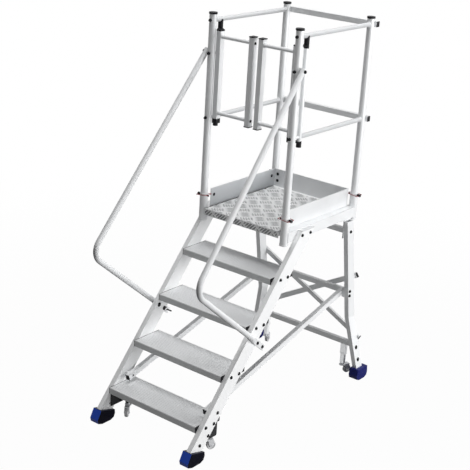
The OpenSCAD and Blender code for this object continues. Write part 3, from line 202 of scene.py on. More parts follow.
def operator(operation: str, swapped: bool = False) -> Callable[..., "Value"]:
    """Makes the method that stands for one operator of a value.

    Args:
        operation: name of the Math node's operation.
        swapped: True if the value is the second operand.

    Returns:
        The method.
    """
    def apply(self: "Value", other: Any = 0.0) -> "Value":
        """Adds one Math node."""
        operands = {0: other, 1: self} if swapped else {0: self, 1: other}
        return self.bench.value("ShaderNodeMath", operands, operation=operation)

    return apply


class Value:
    """A number in a node tree that takes part in Python expressions."""

    __add__ = operator("ADD")
    __radd__ = operator("ADD", swapped=True)
    __sub__ = operator("SUBTRACT")
    __rsub__ = operator("SUBTRACT", swapped=True)
    __mul__ = operator("MULTIPLY")
    __rmul__ = operator("MULTIPLY", swapped=True)
    __truediv__ = operator("DIVIDE")
    __mod__ = operator("FLOORED_MODULO")
    __gt__ = operator("GREATER_THAN")
    __lt__ = operator("LESS_THAN")
    __abs__ = operator("ABSOLUTE")
    floor = operator("FLOOR")
    most = operator("MAXIMUM")

    def __init__(self, bench: Bench, socket: NodeSocket) -> None:
        """Wraps an output socket."""
        self.bench = bench
        self.socket = socket

    def fade(self, low: float, high: float) -> "Value":
        """Smooth step of this value, 0 at the low end and 1 at the high end."""
        return self.bench.value("ShaderNodeMapRange", {"Value": self, "From Min": low, "From Max": high},
                                interpolation_type="SMOOTHSTEP")


class Grain(Enum):
    """Way that the drawn lines of a tube or section run, as turns about X, Y and Z."""

    ACROSS = (0.0, 0.0, 0.0)
    ALONG = (0.0, 0.0, math.pi / 2)
    UPRIGHT = (0.0, -math.pi / 2, 0.0)
    STAIR = (0.0, -STAIR_TILT, math.pi / 2)


@dataclass(frozen=True)
class Finish(ABC):
    """A surface finish, made once as a material."""

    name: str

    def make(self) -> Material:
        """Builds the material.

        Returns:
            The finished material.
        """
        material = bpy.data.materials.new(self.name)
        bench = Bench.of(material)
        shader = bench.node("ShaderNodeBsdfPrincipled", self.paint(bench))
        bench.node("ShaderNodeOutputMaterial", {"Surface": shader})
        return material

    @abstractmethod
    def paint(self, bench: Bench) -> Inputs:
        """Gives the inputs of the shader.

        Args:
            bench: where the nodes go.

        Returns:
            The inputs by name.
        """


@dataclass(frozen=True)
class MillAluminium(Finish):
    """Drawn aluminium with lines along the section, oxide clouding and bright edges that are partly wear and
    partly a painted highlight.
    """

    grain: Grain
    dark: Colour = grey(0.76)
    light: Colour = grey(0.90)
    # Colour of the bright edges, partly wear and partly a painted highlight.
    worn: Colour = grey(0.94)
    metal: float = 0.14
    gloss: float = 0.40
    sheen: float = 0.25
    drawn: float = 1.0
    worn_and_highlit_edges: bool = True
    line_size: Triple = (0.5, 0.0016, 0.0016)
    cloud_scale: float = 9.0
    edge_r: float = 0.0012
    scratch: float = 0.00006

    def paint(self, bench: Bench) -> Inputs:
        """Gives the inputs of the shader.

        Args:
            bench: where the nodes go.

        Returns:
            The inputs by name.
        """
        where = bench.place()
        turned = bench.node("ShaderNodeMapping", {
            "Vector": where, "Rotation": self.grain.value, "Scale": self.line_size}, vector_type="TEXTURE")
        lines = bench.noise(turned, 1.0, 1.0)
        clouds = bench.noise(where, self.cloud_scale, 3.0)
        tone = (0.52 + 0.45 * clouds + self.drawn * 0.16 * (lines - 0.5)).fade(0.25, 0.95)
        plain = self.paint_light_and_shade(bench, where, clouds, bench.mix(tone, self.dark, self.light))
        soft = None
        # Edges get a lighter colour: partly real wear and partly a painted highlight along the edge lines.
        if self.worn_and_highlit_edges:
            soft, edge = bench.edges(self.edge_r)
            plain = bench.mix(edge * 0.8, plain, self.worn)
        return {
            "Base Color": plain,
            "Metallic": self.metal,
            "Roughness": self.gloss + 0.16 * (clouds - 0.5) + self.drawn * 0.10 * (lines - 0.5),
            "Specular IOR Level": self.sheen,
            "Normal": bench.bump(lines, self.scratch, 0.30 * self.drawn, soft),
        }

    def paint_light_and_shade(self, bench: Bench, where: Any, clouds: Value, plain: Any) -> Any:
        """Gives the colour of the clean metal, which some kinds of sheet change in places with painted light
        or shade.
        """
        return plain


@dataclass(frozen=True)
class ToeBoardSheet(MillAluminium):
    """Sheet of the toe boards, with painted shade on the faces that look into the platform."""

    # Colour of the painted shade on the inward faces.
    painted_shade: Colour = grey(0.58, 0.02)

    def paint_light_and_shade(self, bench: Bench, where: Any, clouds: Value, plain: Any) -> Any:
        """Paints shade on the inward faces."""
        # Painted shade: faces that look into the platform get a darker grey, varied a little by the clouds.
        inward_shade = (bench.part(where, 0) * bench.facing(0) * -1.0).fade(0.05, 0.15)
        return bench.mix(inward_shade * (0.78 + 0.3 * clouds), plain, self.painted_shade)


@dataclass(frozen=True)
class DeckSheet(MillAluminium):
    """Deck plate with painted light in a near-white strip at the back, where the backdrop shows through a
    gap, and painted shade in a near-black band along each side, in the corner at the toe boards.
    """

    side: float = 0.0
    back: float = 0.0
    corner_shade: float = 0.007
    strip: float = 0.012
    # Painted light: near-white that stands in for the backdrop seen through the gap at the back.
    painted_backdrop: Colour = grey(0.99, 0.0)
    # Colour of the painted shade in the corners at the side toe boards.
    black: Colour = (0.012, 0.012, 0.013, 1.0)

    def paint_light_and_shade(self, bench: Bench, where: Any, clouds: Value, plain: Any) -> Any:
        """Paints the corner shade along the sides and the backdrop light at the back.

        Args:
            bench: where the nodes go.
            where: coordinates.
            clouds: slow noise, about 0.5.
            plain: colour of the clean metal.

        Returns:
            The colour with its marked parts.
        """
        # Painted shade: a near-black band on the top of the deck where it meets each side toe board.
        side = (abs(bench.part(where, 0)) > (self.side - self.corner_shade)) * (bench.facing(2) > 0.5)
        # Painted light: a near-white strip along the back stands in for the backdrop seen through the gap in
        # front of the back toe board.
        strip = bench.part(where, 1) > (self.back - self.strip)
        return bench.mix(side, bench.mix(strip, plain, self.painted_backdrop), self.black)


@dataclass(frozen=True)
class TreadSection(MillAluminium):
    """Section of the treads, with painted shade on the front faces that face the climber."""

    # Colour of the painted shade on the front faces.
    painted_shade: Colour = (0.64, 0.65, 0.655, 1.0)

    def paint_light_and_shade(self, bench: Bench, where: Any, clouds: Value, plain: Any) -> Any:
        """Paints shade on the front faces."""
        # Painted shade: faces that look forward get a darker grey, varied a little by the clouds.
        front = (bench.facing(1) * -1.0).fade(0.3, 0.6)
        return bench.mix(front * (0.7 + 0.4 * clouds), plain, self.painted_shade)


@dataclass(frozen=True)
class ChequerBar(Finish):
    """Raised bars of the deck plate, polished on top by shoes, with painted shade on their flanks."""

    # Colour of the painted shade on the flanks.
    flank_shade: Colour = grey(0.25, 0.005)
    crown: Colour = grey(0.90)
    scuff: float = 0.0001

    def paint(self, bench: Bench) -> Inputs:
        """Gives the inputs of the shader.

        Args:
            bench: where the nodes go.

        Returns:
            The inputs by name.
        """
        where = bench.place()
        scuffs = bench.noise(where, 160.0, 3.0)
        patches = bench.noise(where, 11.0, 2.0)
        # Tops get a bright crown from real polish that varies at random; the flanks, which look less upward,
        # get painted shade.
        wear = bench.facing(2, "Normal").fade(0.92, 0.99) * (0.72 + 0.4 * patches - 0.2 * scuffs)
        return {
            "Base Color": bench.mix(wear, self.flank_shade, self.crown),
            "Metallic": 0.3,
            "Roughness": 0.54 - 0.10 * wear + 0.1 * scuffs,
            "Specular IOR Level": 0.3,
            "Normal": bench.bump(scuffs, self.scuff, 0.3),
        }


@dataclass(frozen=True)
class Moulding(Finish):
    """Moulded plastic or rubber with a fine spark grain and dusty, scuffed edges."""

    base: Colour
    dusty: Colour
    rough: float = 0.5
    scale: float = 900.0
    sheen: float = 0.12
    edge_r: float = 0.0008
    relief: float = 0.00015

    def paint(self, bench: Bench) -> Inputs:
        """Gives the inputs of the shader.

        Args:
            bench: where the nodes go.

        Returns:
            The inputs by name.
        """
        where = bench.place()
        spark = bench.noise(where, self.scale, 2.0)
        dust = bench.noise(where, 30.0, 4.0)
        soft, edge = bench.edges(self.edge_r)
        tone = (0.55 * dust.fade(0.45, 0.75) + 0.5 * edge) * 0.6
        return {
            "Base Color": self.tint(bench, bench.mix(tone, self.base, self.dusty)),
            "Roughness": self.rough + 0.2 * (dust - 0.5) + 0.12 * (spark - 0.5),
            "Specular IOR Level": self.sheen,
            "Normal": bench.bump(spark, self.relief, 0.4, soft),
        }

    def tint(self, bench: Bench, plain: Any) -> Any:
        """Gives the plain colour, which some mouldings change in places."""
        return plain


@dataclass(frozen=True)
class PlugMoulding(Moulding):
    """Tube plugs: grey ones close the stiles at one height, and the rest are black."""

    pale: Colour = grey(0.80)
    level: float = 0.0
    reach: float = 0.01

    def tint(self, bench: Bench, plain: Any) -> Any:
        """Pales the plugs near the level."""
        near = abs(bench.part(bench.place(), 2) - self.level) < self.reach
        return bench.mix(near, plain, self.pale)


@dataclass(frozen=True)
class ShoeMoulding(Moulding):
    """Shoe of two plastics: a coloured toe that faces the climber and a dark body."""

    body: Colour = (0.003, 0.003, 0.014, 1.0)

    def tint(self, bench: Bench, plain: Any) -> Any:
        """Darkens all but the front faces."""
        front = (bench.facing(1) * -1.0).fade(0.2, 0.5)
        return bench.mix(front, self.body, plain)


@dataclass(frozen=True)
class Plated(Finish):
    """Plated or blackened steel with small crystals and rubbed edges."""

    base: Colour
    crystal: Colour
    rubbed: Colour
    metal: float
    rough: float
    sheen: float = 0.15
    edge_r: float = 0.0006
    relief: float = 0.0001

    def paint(self, bench: Bench) -> Inputs:
        """Gives the inputs of the shader.

        Args:
            bench: where the nodes go.

        Returns:
            The inputs by name.
        """
        where = bench.place()
        cells = bench.value("ShaderNodeTexVoronoi", {"Vector": where, "Scale": 420.0}, "Distance")
        clouds = bench.noise(where, 55.0, 3.0)
        soft, edge = bench.edges(self.edge_r)
        tone = bench.mix(0.7 * cells.fade(0.1, 0.8) + 0.3 * clouds, self.base, self.crystal)
        return {
            "Base Color": bench.mix(edge * 0.7, tone, self.rubbed),
            "Metallic": self.metal,
            "Roughness": self.rough + 0.2 * (clouds - 0.5),
            "Specular IOR Level": self.sheen,
            "Normal": bench.bump(clouds, self.relief, 0.25, soft),
        }


@dataclass(frozen=True)
class CastorSteel(Plated):
    """Castor plates, blackened under the first tread and pale at the rear legs, where the pale is made
    brighter as painted light against the legs' shade.
    """

    rear_pale_painted_light: Colour = grey(0.90)
    blend: float = 0.05

    def paint(self, bench: Bench) -> Inputs:
        """Gives the inputs of the shader.

        Args:
            bench: where the nodes go.

        Returns:
            The inputs by name.
        """
        inputs = super().paint(bench)
        where = bench.place()
        clouds = bench.noise(where, 40.0, 3.0)
        rear = bench.part(where, 1).fade(-self.blend, self.blend)
        # Rear plates: their real pale colour, pushed brighter as painted light against the shade of the
        # legs.
        inputs["Base Color"] = bench.mix(rear * (0.85 + 0.2 * clouds), inputs["Base Color"], self.rear_pale_painted_light)
        inputs["Metallic"] = rear * 0.6
        return inputs


@dataclass(frozen=True)
class NylonWheel(Finish):
    """Pale nylon wheel with a greyer running band and a dark ring at the axle."""

    centre: Triple
    axis: Triple
    tread_from: float
    hub_to: float
    pale: Colour = grey(0.92)
    dirty: Colour = (0.76, 0.76, 0.77, 1.0)
    run: Colour = (0.58, 0.58, 0.59, 1.0)
    ring: Colour = (0.16, 0.16, 0.17, 1.0)
    blur: float = 0.001
    pit: float = 0.0002

    def paint(self, bench: Bench) -> Inputs:
        """Gives the inputs of the shader.

        Args:
            bench: where the nodes go.

        Returns:
            The inputs by name.
        """
        where = bench.place()
        arm = bench.vector("SUBTRACT", where, self.centre)
        reach = bench.length(bench.vector("CROSS_PRODUCT", arm, self.axis))
        band = reach.fade(self.tread_from - 2 * self.blur, self.tread_from + self.blur)
        hub = 1.0 - reach.fade(self.hub_to - self.blur, self.hub_to + self.blur)
        dirt = bench.noise(where, 140.0, 4.0)
        body = bench.mix(dirt.fade(0.4, 0.8), self.pale, self.dirty)
        worn = bench.mix(band * (0.2 + 0.4 * dirt), body, self.run)
        return {
            "Base Color": bench.mix(hub * 0.8, worn, self.ring),
            "Roughness": 0.42 + 0.2 * band + 0.15 * (dirt - 0.5),
            "Normal": bench.bump(dirt, self.pit, 0.25),
        }


def make_paints() -> Paints:
    """Makes the finishes that several solids or pieces share.

    Returns:
        The materials by name.
    """
    black: Colour = (0.006, 0.006, 0.008, 1.0)
    moulded = (black, (0.03, 0.03, 0.032, 1.0))
    blacked = {"base": black, "crystal": (0.014, 0.014, 0.016, 1.0), "rubbed": (0.06, 0.06, 0.065, 1.0),
               "metal": 0.0, "rough": 0.42}
    tube = {"metal": 0.02, "gloss": 0.62, "sheen": 0.08, "worn_and_highlit_edges": False}
    finishes = [
        MillAluminium("aluminium_across", Grain.ACROSS),
        MillAluminium("aluminium_along", Grain.ALONG),
        MillAluminium("aluminium_upright", Grain.UPRIGHT),
        Moulding("black_plastic", *moulded),
        PlugMoulding("tube_plug", *moulded, level=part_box("stile_right")[1][2]),
        ShoeMoulding("blue_shoe", (0.034, 0.108, 0.68, 1.0), (0.07, 0.15, 0.72, 1.0), rough=0.42),
        Moulding("navy_shoe", (0.008, 0.012, 0.13, 1.0), (0.03, 0.04, 0.22, 1.0), rough=0.45),
        Moulding("rubber_grip", (0.0015, 0.0015, 0.006, 1.0), (0.008, 0.008, 0.02, 1.0), rough=0.62,
                 scale=500.0, sheen=0.05),
        Plated("black_bolts", **blacked),
        CastorSteel("castor_steel", **blacked),
        Plated("zinc", (0.66, 0.67, 0.69, 1.0), (0.80, 0.81, 0.83, 1.0), grey(0.90), metal=0.3, rough=0.34),
        Plated("red_wire", (0.22, 0.010, 0.016, 1.0), (0.30, 0.016, 0.024, 1.0), (0.42, 0.05, 0.06, 1.0),
               metal=0.1, rough=0.42),
        # A lighter copy of the stiles' aluminium: painted light that brightens their lit sides.
        MillAluminium("stile_section", Grain.STAIR, grey(0.92), grey(0.97, 0.005)),
        TreadSection("tread_section", Grain.ACROSS),
        # A darker copy of the rails' aluminium: painted shade that keeps their lit sides from washing out.
        MillAluminium("guard_tube", Grain.ALONG, grey(0.58), grey(0.68), drawn=0.3, **tube),
        ChequerBar("chequer_bar"),
        DeckSheet("deck_sheet", Grain.ACROSS, grey(0.78, 0.005), grey(0.88, 0.005),
                  side=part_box("toe_board_right")[0][0], back=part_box("deck")[1][1]),
        MillAluminium("handrail_tube", Grain.STAIR, grey(0.80), grey(0.87), drawn=0.2, **tube),
        ToeBoardSheet("toe_sheet_back", Grain.ACROSS, grey(0.68), grey(0.80)),
        ToeBoardSheet("toe_sheet_side", Grain.ALONG, grey(0.66), grey(0.80))]
    return {finish.name: finish.make() for finish in finishes}


class Growth:
    """A Geometry Nodes tree with named inputs, turned into plain meshes."""

    def __init__(self, name: str, numbers: Sequence[str], counts: Sequence[str] = ()) -> None:
        """Starts the tree.

        Args:
            name: name of the tree.
            numbers: names of the inputs that are lengths or angles.
            counts: names of the inputs that are whole numbers.
        """
        self.tree = bpy.data.node_groups.new(name, "GeometryNodeTree")
        sockets = self.tree.interface
        for way in ("INPUT", "OUTPUT"):
            sockets.new_socket("Geometry", in_out=way, socket_type="NodeSocketGeometry")
        kinds = {**dict.fromkeys(numbers, "Float"), **dict.fromkeys(counts, "Int"), "Material": "Material"}
        for label, kind in kinds.items():
            sockets.new_socket(label, in_out="INPUT", socket_type=f"NodeSocket{kind}")
        self.bench = Bench(self.tree)
        self.entry = self.bench.node("NodeGroupInput")

    def given(self, label: str) -> Value:
        """One named input as a value."""
        return Value(self.bench, self.entry.outputs[label])

    def ball(self, segments: int, rings: int) -> Node:
        """A ball of radius 1."""
        return self.bench.node("GeometryNodeMeshUVSphere", {
            "Segments": segments, "Rings": rings, "Radius": 1.0})

    def smooth(self, geometry: Any) -> Node:
        """The same faces, shaded smooth."""
        return self.bench.node("GeometryNodeSetShadeSmooth", {"Geometry": geometry})

    def turn_to(self, way: Any) -> Node:
        """The turn that brings Z to a direction."""
        return self.bench.node("FunctionNodeAlignRotationToVector", {"Vector": way}, axis="Z")

    def spread(self, points: Any, shape: Any, **more: Any) -> Node:
        """Copies a shape to points, each copy with its Rotation or Scale."""
        return self.bench.node("GeometryNodeInstanceOnPoints", {"Points": points, "Instance": shape, **more})

    def close(self, geometry: Any) -> None:
        """Ends the tree in realised instances with their material.

        Args:
            geometry: the instances.
        """
        real = self.bench.node("GeometryNodeRealizeInstances", {0: geometry})
        painted = self.bench.node("GeometryNodeSetMaterial", {
            "Geometry": real, "Material": self.entry.outputs["Material"]})
        self.bench.node("NodeGroupOutput", {0: painted})

    def grow(self, name: str, carrier: Mesh, values: Dict[str, Any]) -> Object:
        """Runs the tree on a carrier mesh.

        Args:
            name: name of the piece.
            carrier: points or paths that the tree starts from.
            values: the inputs by name.

        Returns:
            The piece as a plain mesh object.
        """
        piece = bpy.data.objects.new(name, carrier)
        bpy.context.scene.collection.objects.link(piece)
        modifier = piece.modifiers.new("grow", "NODES")
        modifier.node_group = self.tree
        for item in self.tree.interface.items_tree:
            if item.in_out == "INPUT" and item.name in values:
                modifier[item.identifier] = values[item.name]
        graph = bpy.context.evaluated_depsgraph_get()
        graph.update()
        mesh = bpy.data.meshes.new_from_object(piece.evaluated_get(graph), depsgraph=graph)
        piece.modifiers.remove(modifier)
        piece.data = mesh
        mesh.name = name
        mesh.materials.clear()
        mesh.materials.append(values["Material"])
        mesh.polygons.foreach_set("material_index", [0] * len(mesh.polygons))
        return piece


class ChequerGrowth(Growth):
    """Groups of parallel raised bars, each group square to its neighbours."""

    BARS = 5

    def __init__(self) -> None:
        """Builds the tree."""
        super().__init__("chequer_growth", (
            "Width", "Depth", "Shift X", "Shift Y", "Cell", "Bar Length", "Bar Width", "Bar Height",
            "Bar Pitch", "Turn"), ("Count",))
        bench = self.bench
        count, cell, pitch = self.given("Count"), self.given("Cell"), self.given("Bar Pitch")
        span = cell * (count - 1.0)
        grid = bench.node("GeometryNodeMeshGrid", {
            "Size X": span, "Size Y": span, "Vertices X": count, "Vertices Y": count})
        index = bench.value("GeometryNodeInputIndex")
        row = (index / count).floor()
        parity = (index - row * count + row) % 2.0
        marked = bench.node("GeometryNodeStoreNamedAttribute", {
            "Geometry": grid, "Name": "turn", "Value": parity}, data_type="FLOAT", domain="POINT")
        swung = bench.node("ShaderNodeVectorRotate", {
            "Vector": bench.node("GeometryNodeInputPosition"), "Angle": self.given("Turn")},
            rotation_type="Z_AXIS")
        turned = bench.node("GeometryNodeSetPosition", {
            "Geometry": marked, "Position": swung,
            "Offset": bench.join(self.given("Shift X"), self.given("Shift Y"))})
        place = bench.node("GeometryNodeInputPosition")
        over_x = abs(bench.part(place, 0)) > (self.given("Width") * 0.5 + cell)
        over_y = abs(bench.part(place, 1)) > (self.given("Depth") * 0.5 + cell)
        kept = bench.node("GeometryNodeDeleteGeometry", {
            "Geometry": turned, "Selection": over_x.most(over_y)}, domain="POINT")
        cone = bench.node("GeometryNodeMeshCone", {
            "Vertices": 10, "Radius Top": 0.40, "Radius Bottom": 1.0, "Depth": 1.0}, fill_type="NGON")
        shape = bench.join(self.given("Bar Length") * 0.5, self.given("Bar Width") * 0.5,
                           self.given("Bar Height"))
        bar = bench.node("GeometryNodeTransform", {"Geometry": cone, "Scale": shape})
        line = bench.node("GeometryNodeMeshLine", {
            "Count": self.BARS, "Start Location": bench.join(y=pitch * ((1.0 - self.BARS) / 2)),
            "Offset": bench.join(y=pitch)}, mode="OFFSET")
        stored = bench.value("GeometryNodeInputNamedAttribute", {"Name": "turn"}, data_type="FLOAT")
        swing = bench.join(z=stored * (math.pi / 2) + self.given("Turn"))
        self.close(self.spread(kept, self.spread(line, bar), Rotation=swing))


class HeadGrowth(Growth):
    """Domed heads on washers at points, each facing along the point's own direction."""

    def __init__(self) -> None:
        """Builds the tree."""
        super().__init__("head_growth", ("Head Radius", "Head Height", "Washer Radius", "Washer Height"))
        bench = self.bench
        washer = bench.node("GeometryNodeMeshCylinder", {
            "Vertices": 24, "Radius": self.given("Washer Radius"),
            "Depth": self.given("Washer Height") * 2.0}, fill_type="NGON")
        radius = self.given("Head Radius")
        dome = bench.node("GeometryNodeTransform", {
            "Geometry": self.ball(20, 10), "Scale": bench.join(radius, radius, self.given("Head Height"))})
        both = bench.node("GeometryNodeJoinGeometry")
        for part in (washer, self.smooth(dome)):
            bench.tree.links.new(part.outputs[0], both.inputs[0])
        facing = bench.node("GeometryNodeInputNamedAttribute", {"Name": "facing"}, data_type="FLOAT_VECTOR")
        self.close(self.spread(self.entry.outputs["Geometry"], both, Rotation=self.turn_to(facing)))


class SeamGrowth(Growth):
    """Overlapping weld drops along paths, each a little different in size."""

    LEAST = 0.85
    MOST = 1.15
    FLATNESS = 0.8

    def __init__(self) -> None:
        """Builds the tree."""
        super().__init__("seam_growth", ("Bead", "Pitch"), ("Seed",))
        bench = self.bench
        path = bench.node("GeometryNodeMeshToCurve", {0: self.entry.outputs["Geometry"]})
        spots = bench.node("GeometryNodeResampleCurve", {"Curve": path, "Length": self.given("Pitch")},
                           mode="LENGTH")
        chance = bench.value("FunctionNodeRandomValue", {
            2: self.LEAST, 3: self.MOST, "Seed": self.given("Seed")}, 1, data_type="FLOAT")
        size = self.given("Bead") * chance
        way = bench.node("GeometryNodeInputTangent")
        self.close(self.spread(spots, self.smooth(self.ball(8, 5)), Rotation=self.turn_to(way),
                               Scale=bench.join(size, size, size * self.FLATNESS)))


class RibGrowth(Growth):
    """Upright rods at points, half sunk as ribs, each as tall as its point says."""

    def __init__(self) -> None:
        """Builds the tree."""
        super().__init__("rib_growth", ("Rib Radius",))
        bench = self.bench
        rod = bench.node("GeometryNodeMeshCylinder", {"Vertices": 10, "Radius": 1.0, "Depth": 1.0},
                         fill_type="NGON")
        tall = bench.node("GeometryNodeInputNamedAttribute", {"Name": "tall"}, data_type="FLOAT")
        radius = self.given("Rib Radius")
        self.close(self.spread(self.entry.outputs["Geometry"], rod, Scale=bench.join(radius, radius, tall)))


def point_mesh(name: str, points: Iterable[Triple], attribute: str = "",
               values: Sequence[Any] = ()) -> Mesh:
    """Makes a mesh of loose points.

    Args:
        name: name of the mesh.
        points: where the points are.
        attribute: name of a value that each point carries.
        values: a number or a vector for each point.

    Returns:
        The mesh.
    """
    mesh = bpy.data.meshes.new(name)
    mesh.from_pydata([tuple(point) for point in points], [], [])
    if attribute and isinstance(values[0], (int, float)):
        layer = mesh.attributes.new(attribute, "FLOAT", "POINT")
        layer.data.foreach_set("value", list(values))
    elif attribute:
        layer = mesh.attributes.new(attribute, "FLOAT_VECTOR", "POINT")
        layer.data.foreach_set("vector", [number for value in values for number in value])
    return mesh


def loop_mesh(name: str, loops: Iterable[Sequence[Triple]]) -> Mesh:
    """Makes a mesh of closed paths.

    Args:
        name: name of the mesh.
        loops: points of each path in order.

    Returns:
        The mesh, with edges only.
    """
    points: List[Triple] = []
    edges: List[Tuple[int, int]] = []
    for loop in loops:
        first = len(points)
        points.extend(tuple(point) for point in loop)
        edges.extend((first + i, first + (i + 1) % len(loop)) for i in range(len(loop)))
    mesh = bpy.data.meshes.new(name)
    mesh.from_pydata(points, edges, [])
    return mesh


def trim(mesh: Mesh, half_x: float, half_y: float) -> None:
    """Cuts closed shapes off at the sides of a rectangle about the origin.

    Args:
        mesh: the shapes.
        half_x: half of the rectangle's width.
        half_y: half of its depth.
    """
    shape = bmesh.new()
    shape.from_mesh(mesh)
    for reach, axis in ((half_x, Vector((1, 0, 0))), (half_y, Vector((0, 1, 0)))):
        for way in WAYS:
            cut = bmesh.ops.bisect_plane(shape, geom=shape.verts[:] + shape.edges[:] + shape.faces[:],
                                         plane_co=axis * reach * way, plane_no=axis * way,
                                         clear_outer=True)
            rim = [part for part in cut["geom_cut"] if isinstance(part, bmesh.types.BMEdge)]
            bmesh.ops.edgeloop_fill(shape, edges=rim)
    bmesh.ops.recalc_face_normals(shape, faces=shape.faces)
    shape.to_mesh(mesh)
    shape.free()


class Surface:
    """The faces of one solid, for finding places on them."""

    def __init__(self, node: str) -> None:
        """Reads the faces.

        Args:
            node: name of the solid.
        """
        mesh = frame["nodes"][node].data
        self.tree = BVHTree.FromPolygons([vertex.co.copy() for vertex in mesh.vertices],
                                         [tuple(face.vertices) for face in mesh.polygons])
        self.low, self.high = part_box(node)

    def hit(self, start: Triple, way: Triple) -> Tuple[Any, Any]:
        """The point and normal where a line from a start meets the faces, or None twice."""
        return self.tree.ray_cast(Vector(start), Vector(way))[:2]


def islands(node: str) -> List[List[Triple]]:
    """Finds the separate bodies in a node's mesh.

    Args:
        node: name of the node.

    Returns:
        The corners of each body.
    """
    mesh = frame["nodes"][node].data
    places = [tuple(round(part, DIGITS) for part in vertex.co) for vertex in mesh.vertices]
    parent = {place: place for place in places}

    def root(place: Triple) -> Triple:
        """Finds the place that stands for a whole body.

        Args:
            place: any place of the body.

        Returns:
            The place that stands for it.
        """
        while parent[place] != place:
            place = parent[place]
        return place

    for face in mesh.polygons:
        first = root(places[face.vertices[0]])
        for corner in face.vertices[1:]:
            parent[root(places[corner])] = first
    groups: Dict[Triple, List[Triple]] = {}
    for place in parent:
        groups.setdefault(root(place), []).append(place)
    return list(groups.values())


def hull_outline(points: Iterable[Pair]) -> List[Pair]:
    """Finds the convex outline of flat points.

    Args:
        points: the points.

    Returns:
        The outline's corners in order.
    """
    ordered = sorted(set(points))
    chains: List[List[Pair]] = []
    for run in (ordered, ordered[::-1]):
        chain: List[Pair] = []
        for point in run:
            while len(chain) > 1 and ((chain[-1][0] - chain[-2][0]) * (point[1] - chain[-2][1])
                                      <= (chain[-1][1] - chain[-2][1]) * (point[0] - chain[-2][0])):
                chain.pop()
            chain.append(point)
        chains.append(chain[:-1])
    return chains[0] + chains[1]


@dataclass(frozen=True)
class Head:
    """Sizes of a domed head and of the washer under it.

    The washer has a radius of flange times the head's, and washer is its height.
    """

    radius: float
    height: float
    flange: float = 1.2
    washer: float = 0.0012


@dataclass
class SubAssembly:
    """A group of solids that are dressed together, with the pieces that are added to them.

    WEARS names the solids of each finish.
    """

    WEARS: ClassVar[Dict[str, str]] = {}
    paints: Paints

    def build(self) -> None:
        """Adds the pieces that the solids don't have."""

    def dress(self) -> None:
        """Puts the finishes on the solids."""
        for finish, nodes in self.WEARS.items():
            for node in nodes.split():
                self.wear(node, self.paints[finish])

    @staticmethod
    def wear(node: str, material: Material) -> None:
        """Puts a finish on one solid.

        Args:
            node: name of the solid.
            material: the finish.
        """
        solid = frame["nodes"][node]
        if not solid.material_slots:
            solid.data.materials.append(material)
        for slot in solid.material_slots:
            slot.material = material
        LOG.info("%s wears %s", node, material.name)

    @staticmethod
    def settle(piece: Object, body: str, slot: str) -> None:
        """Lets a piece ride on its body.

        Args:
            piece: the piece.
            body: body that carries it.
            slot: a finish's name, not used.
        """
        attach(piece, body)
        LOG.info("%s rides on %s, %d faces", piece.name, body, len(piece.data.polygons))

    def heads(self, name: str, spots: Sequence[Spot], head: Head, body: str = "frame") -> None:
        """Adds domed heads on washers.

        Args:
            name: name of the piece.
            spots: where each head sits, and where it points.
            head: their sizes.
            body: body that carries them.
        """
        carrier = point_mesh(name, [place for place, _ in spots], "facing", [way for _, way in spots])
        piece = HeadGrowth().grow(name, carrier, {
            "Head Radius": head.radius, "Head Height": head.height,
            "Washer Radius": head.radius * head.flange, "Washer Height": head.washer,
            "Material": self.paints["black_bolts"]})
        self.settle(piece, body, "black_bolts")


@dataclass
class StairFrame(SubAssembly):
    """The two stiles and the four treads between them."""

    WEARS = {"stile_section": "stile_left stile_right", "black_plastic": "tread_end_caps",
             "tread_section": "tread_1 tread_2 tread_3 tread_4"}


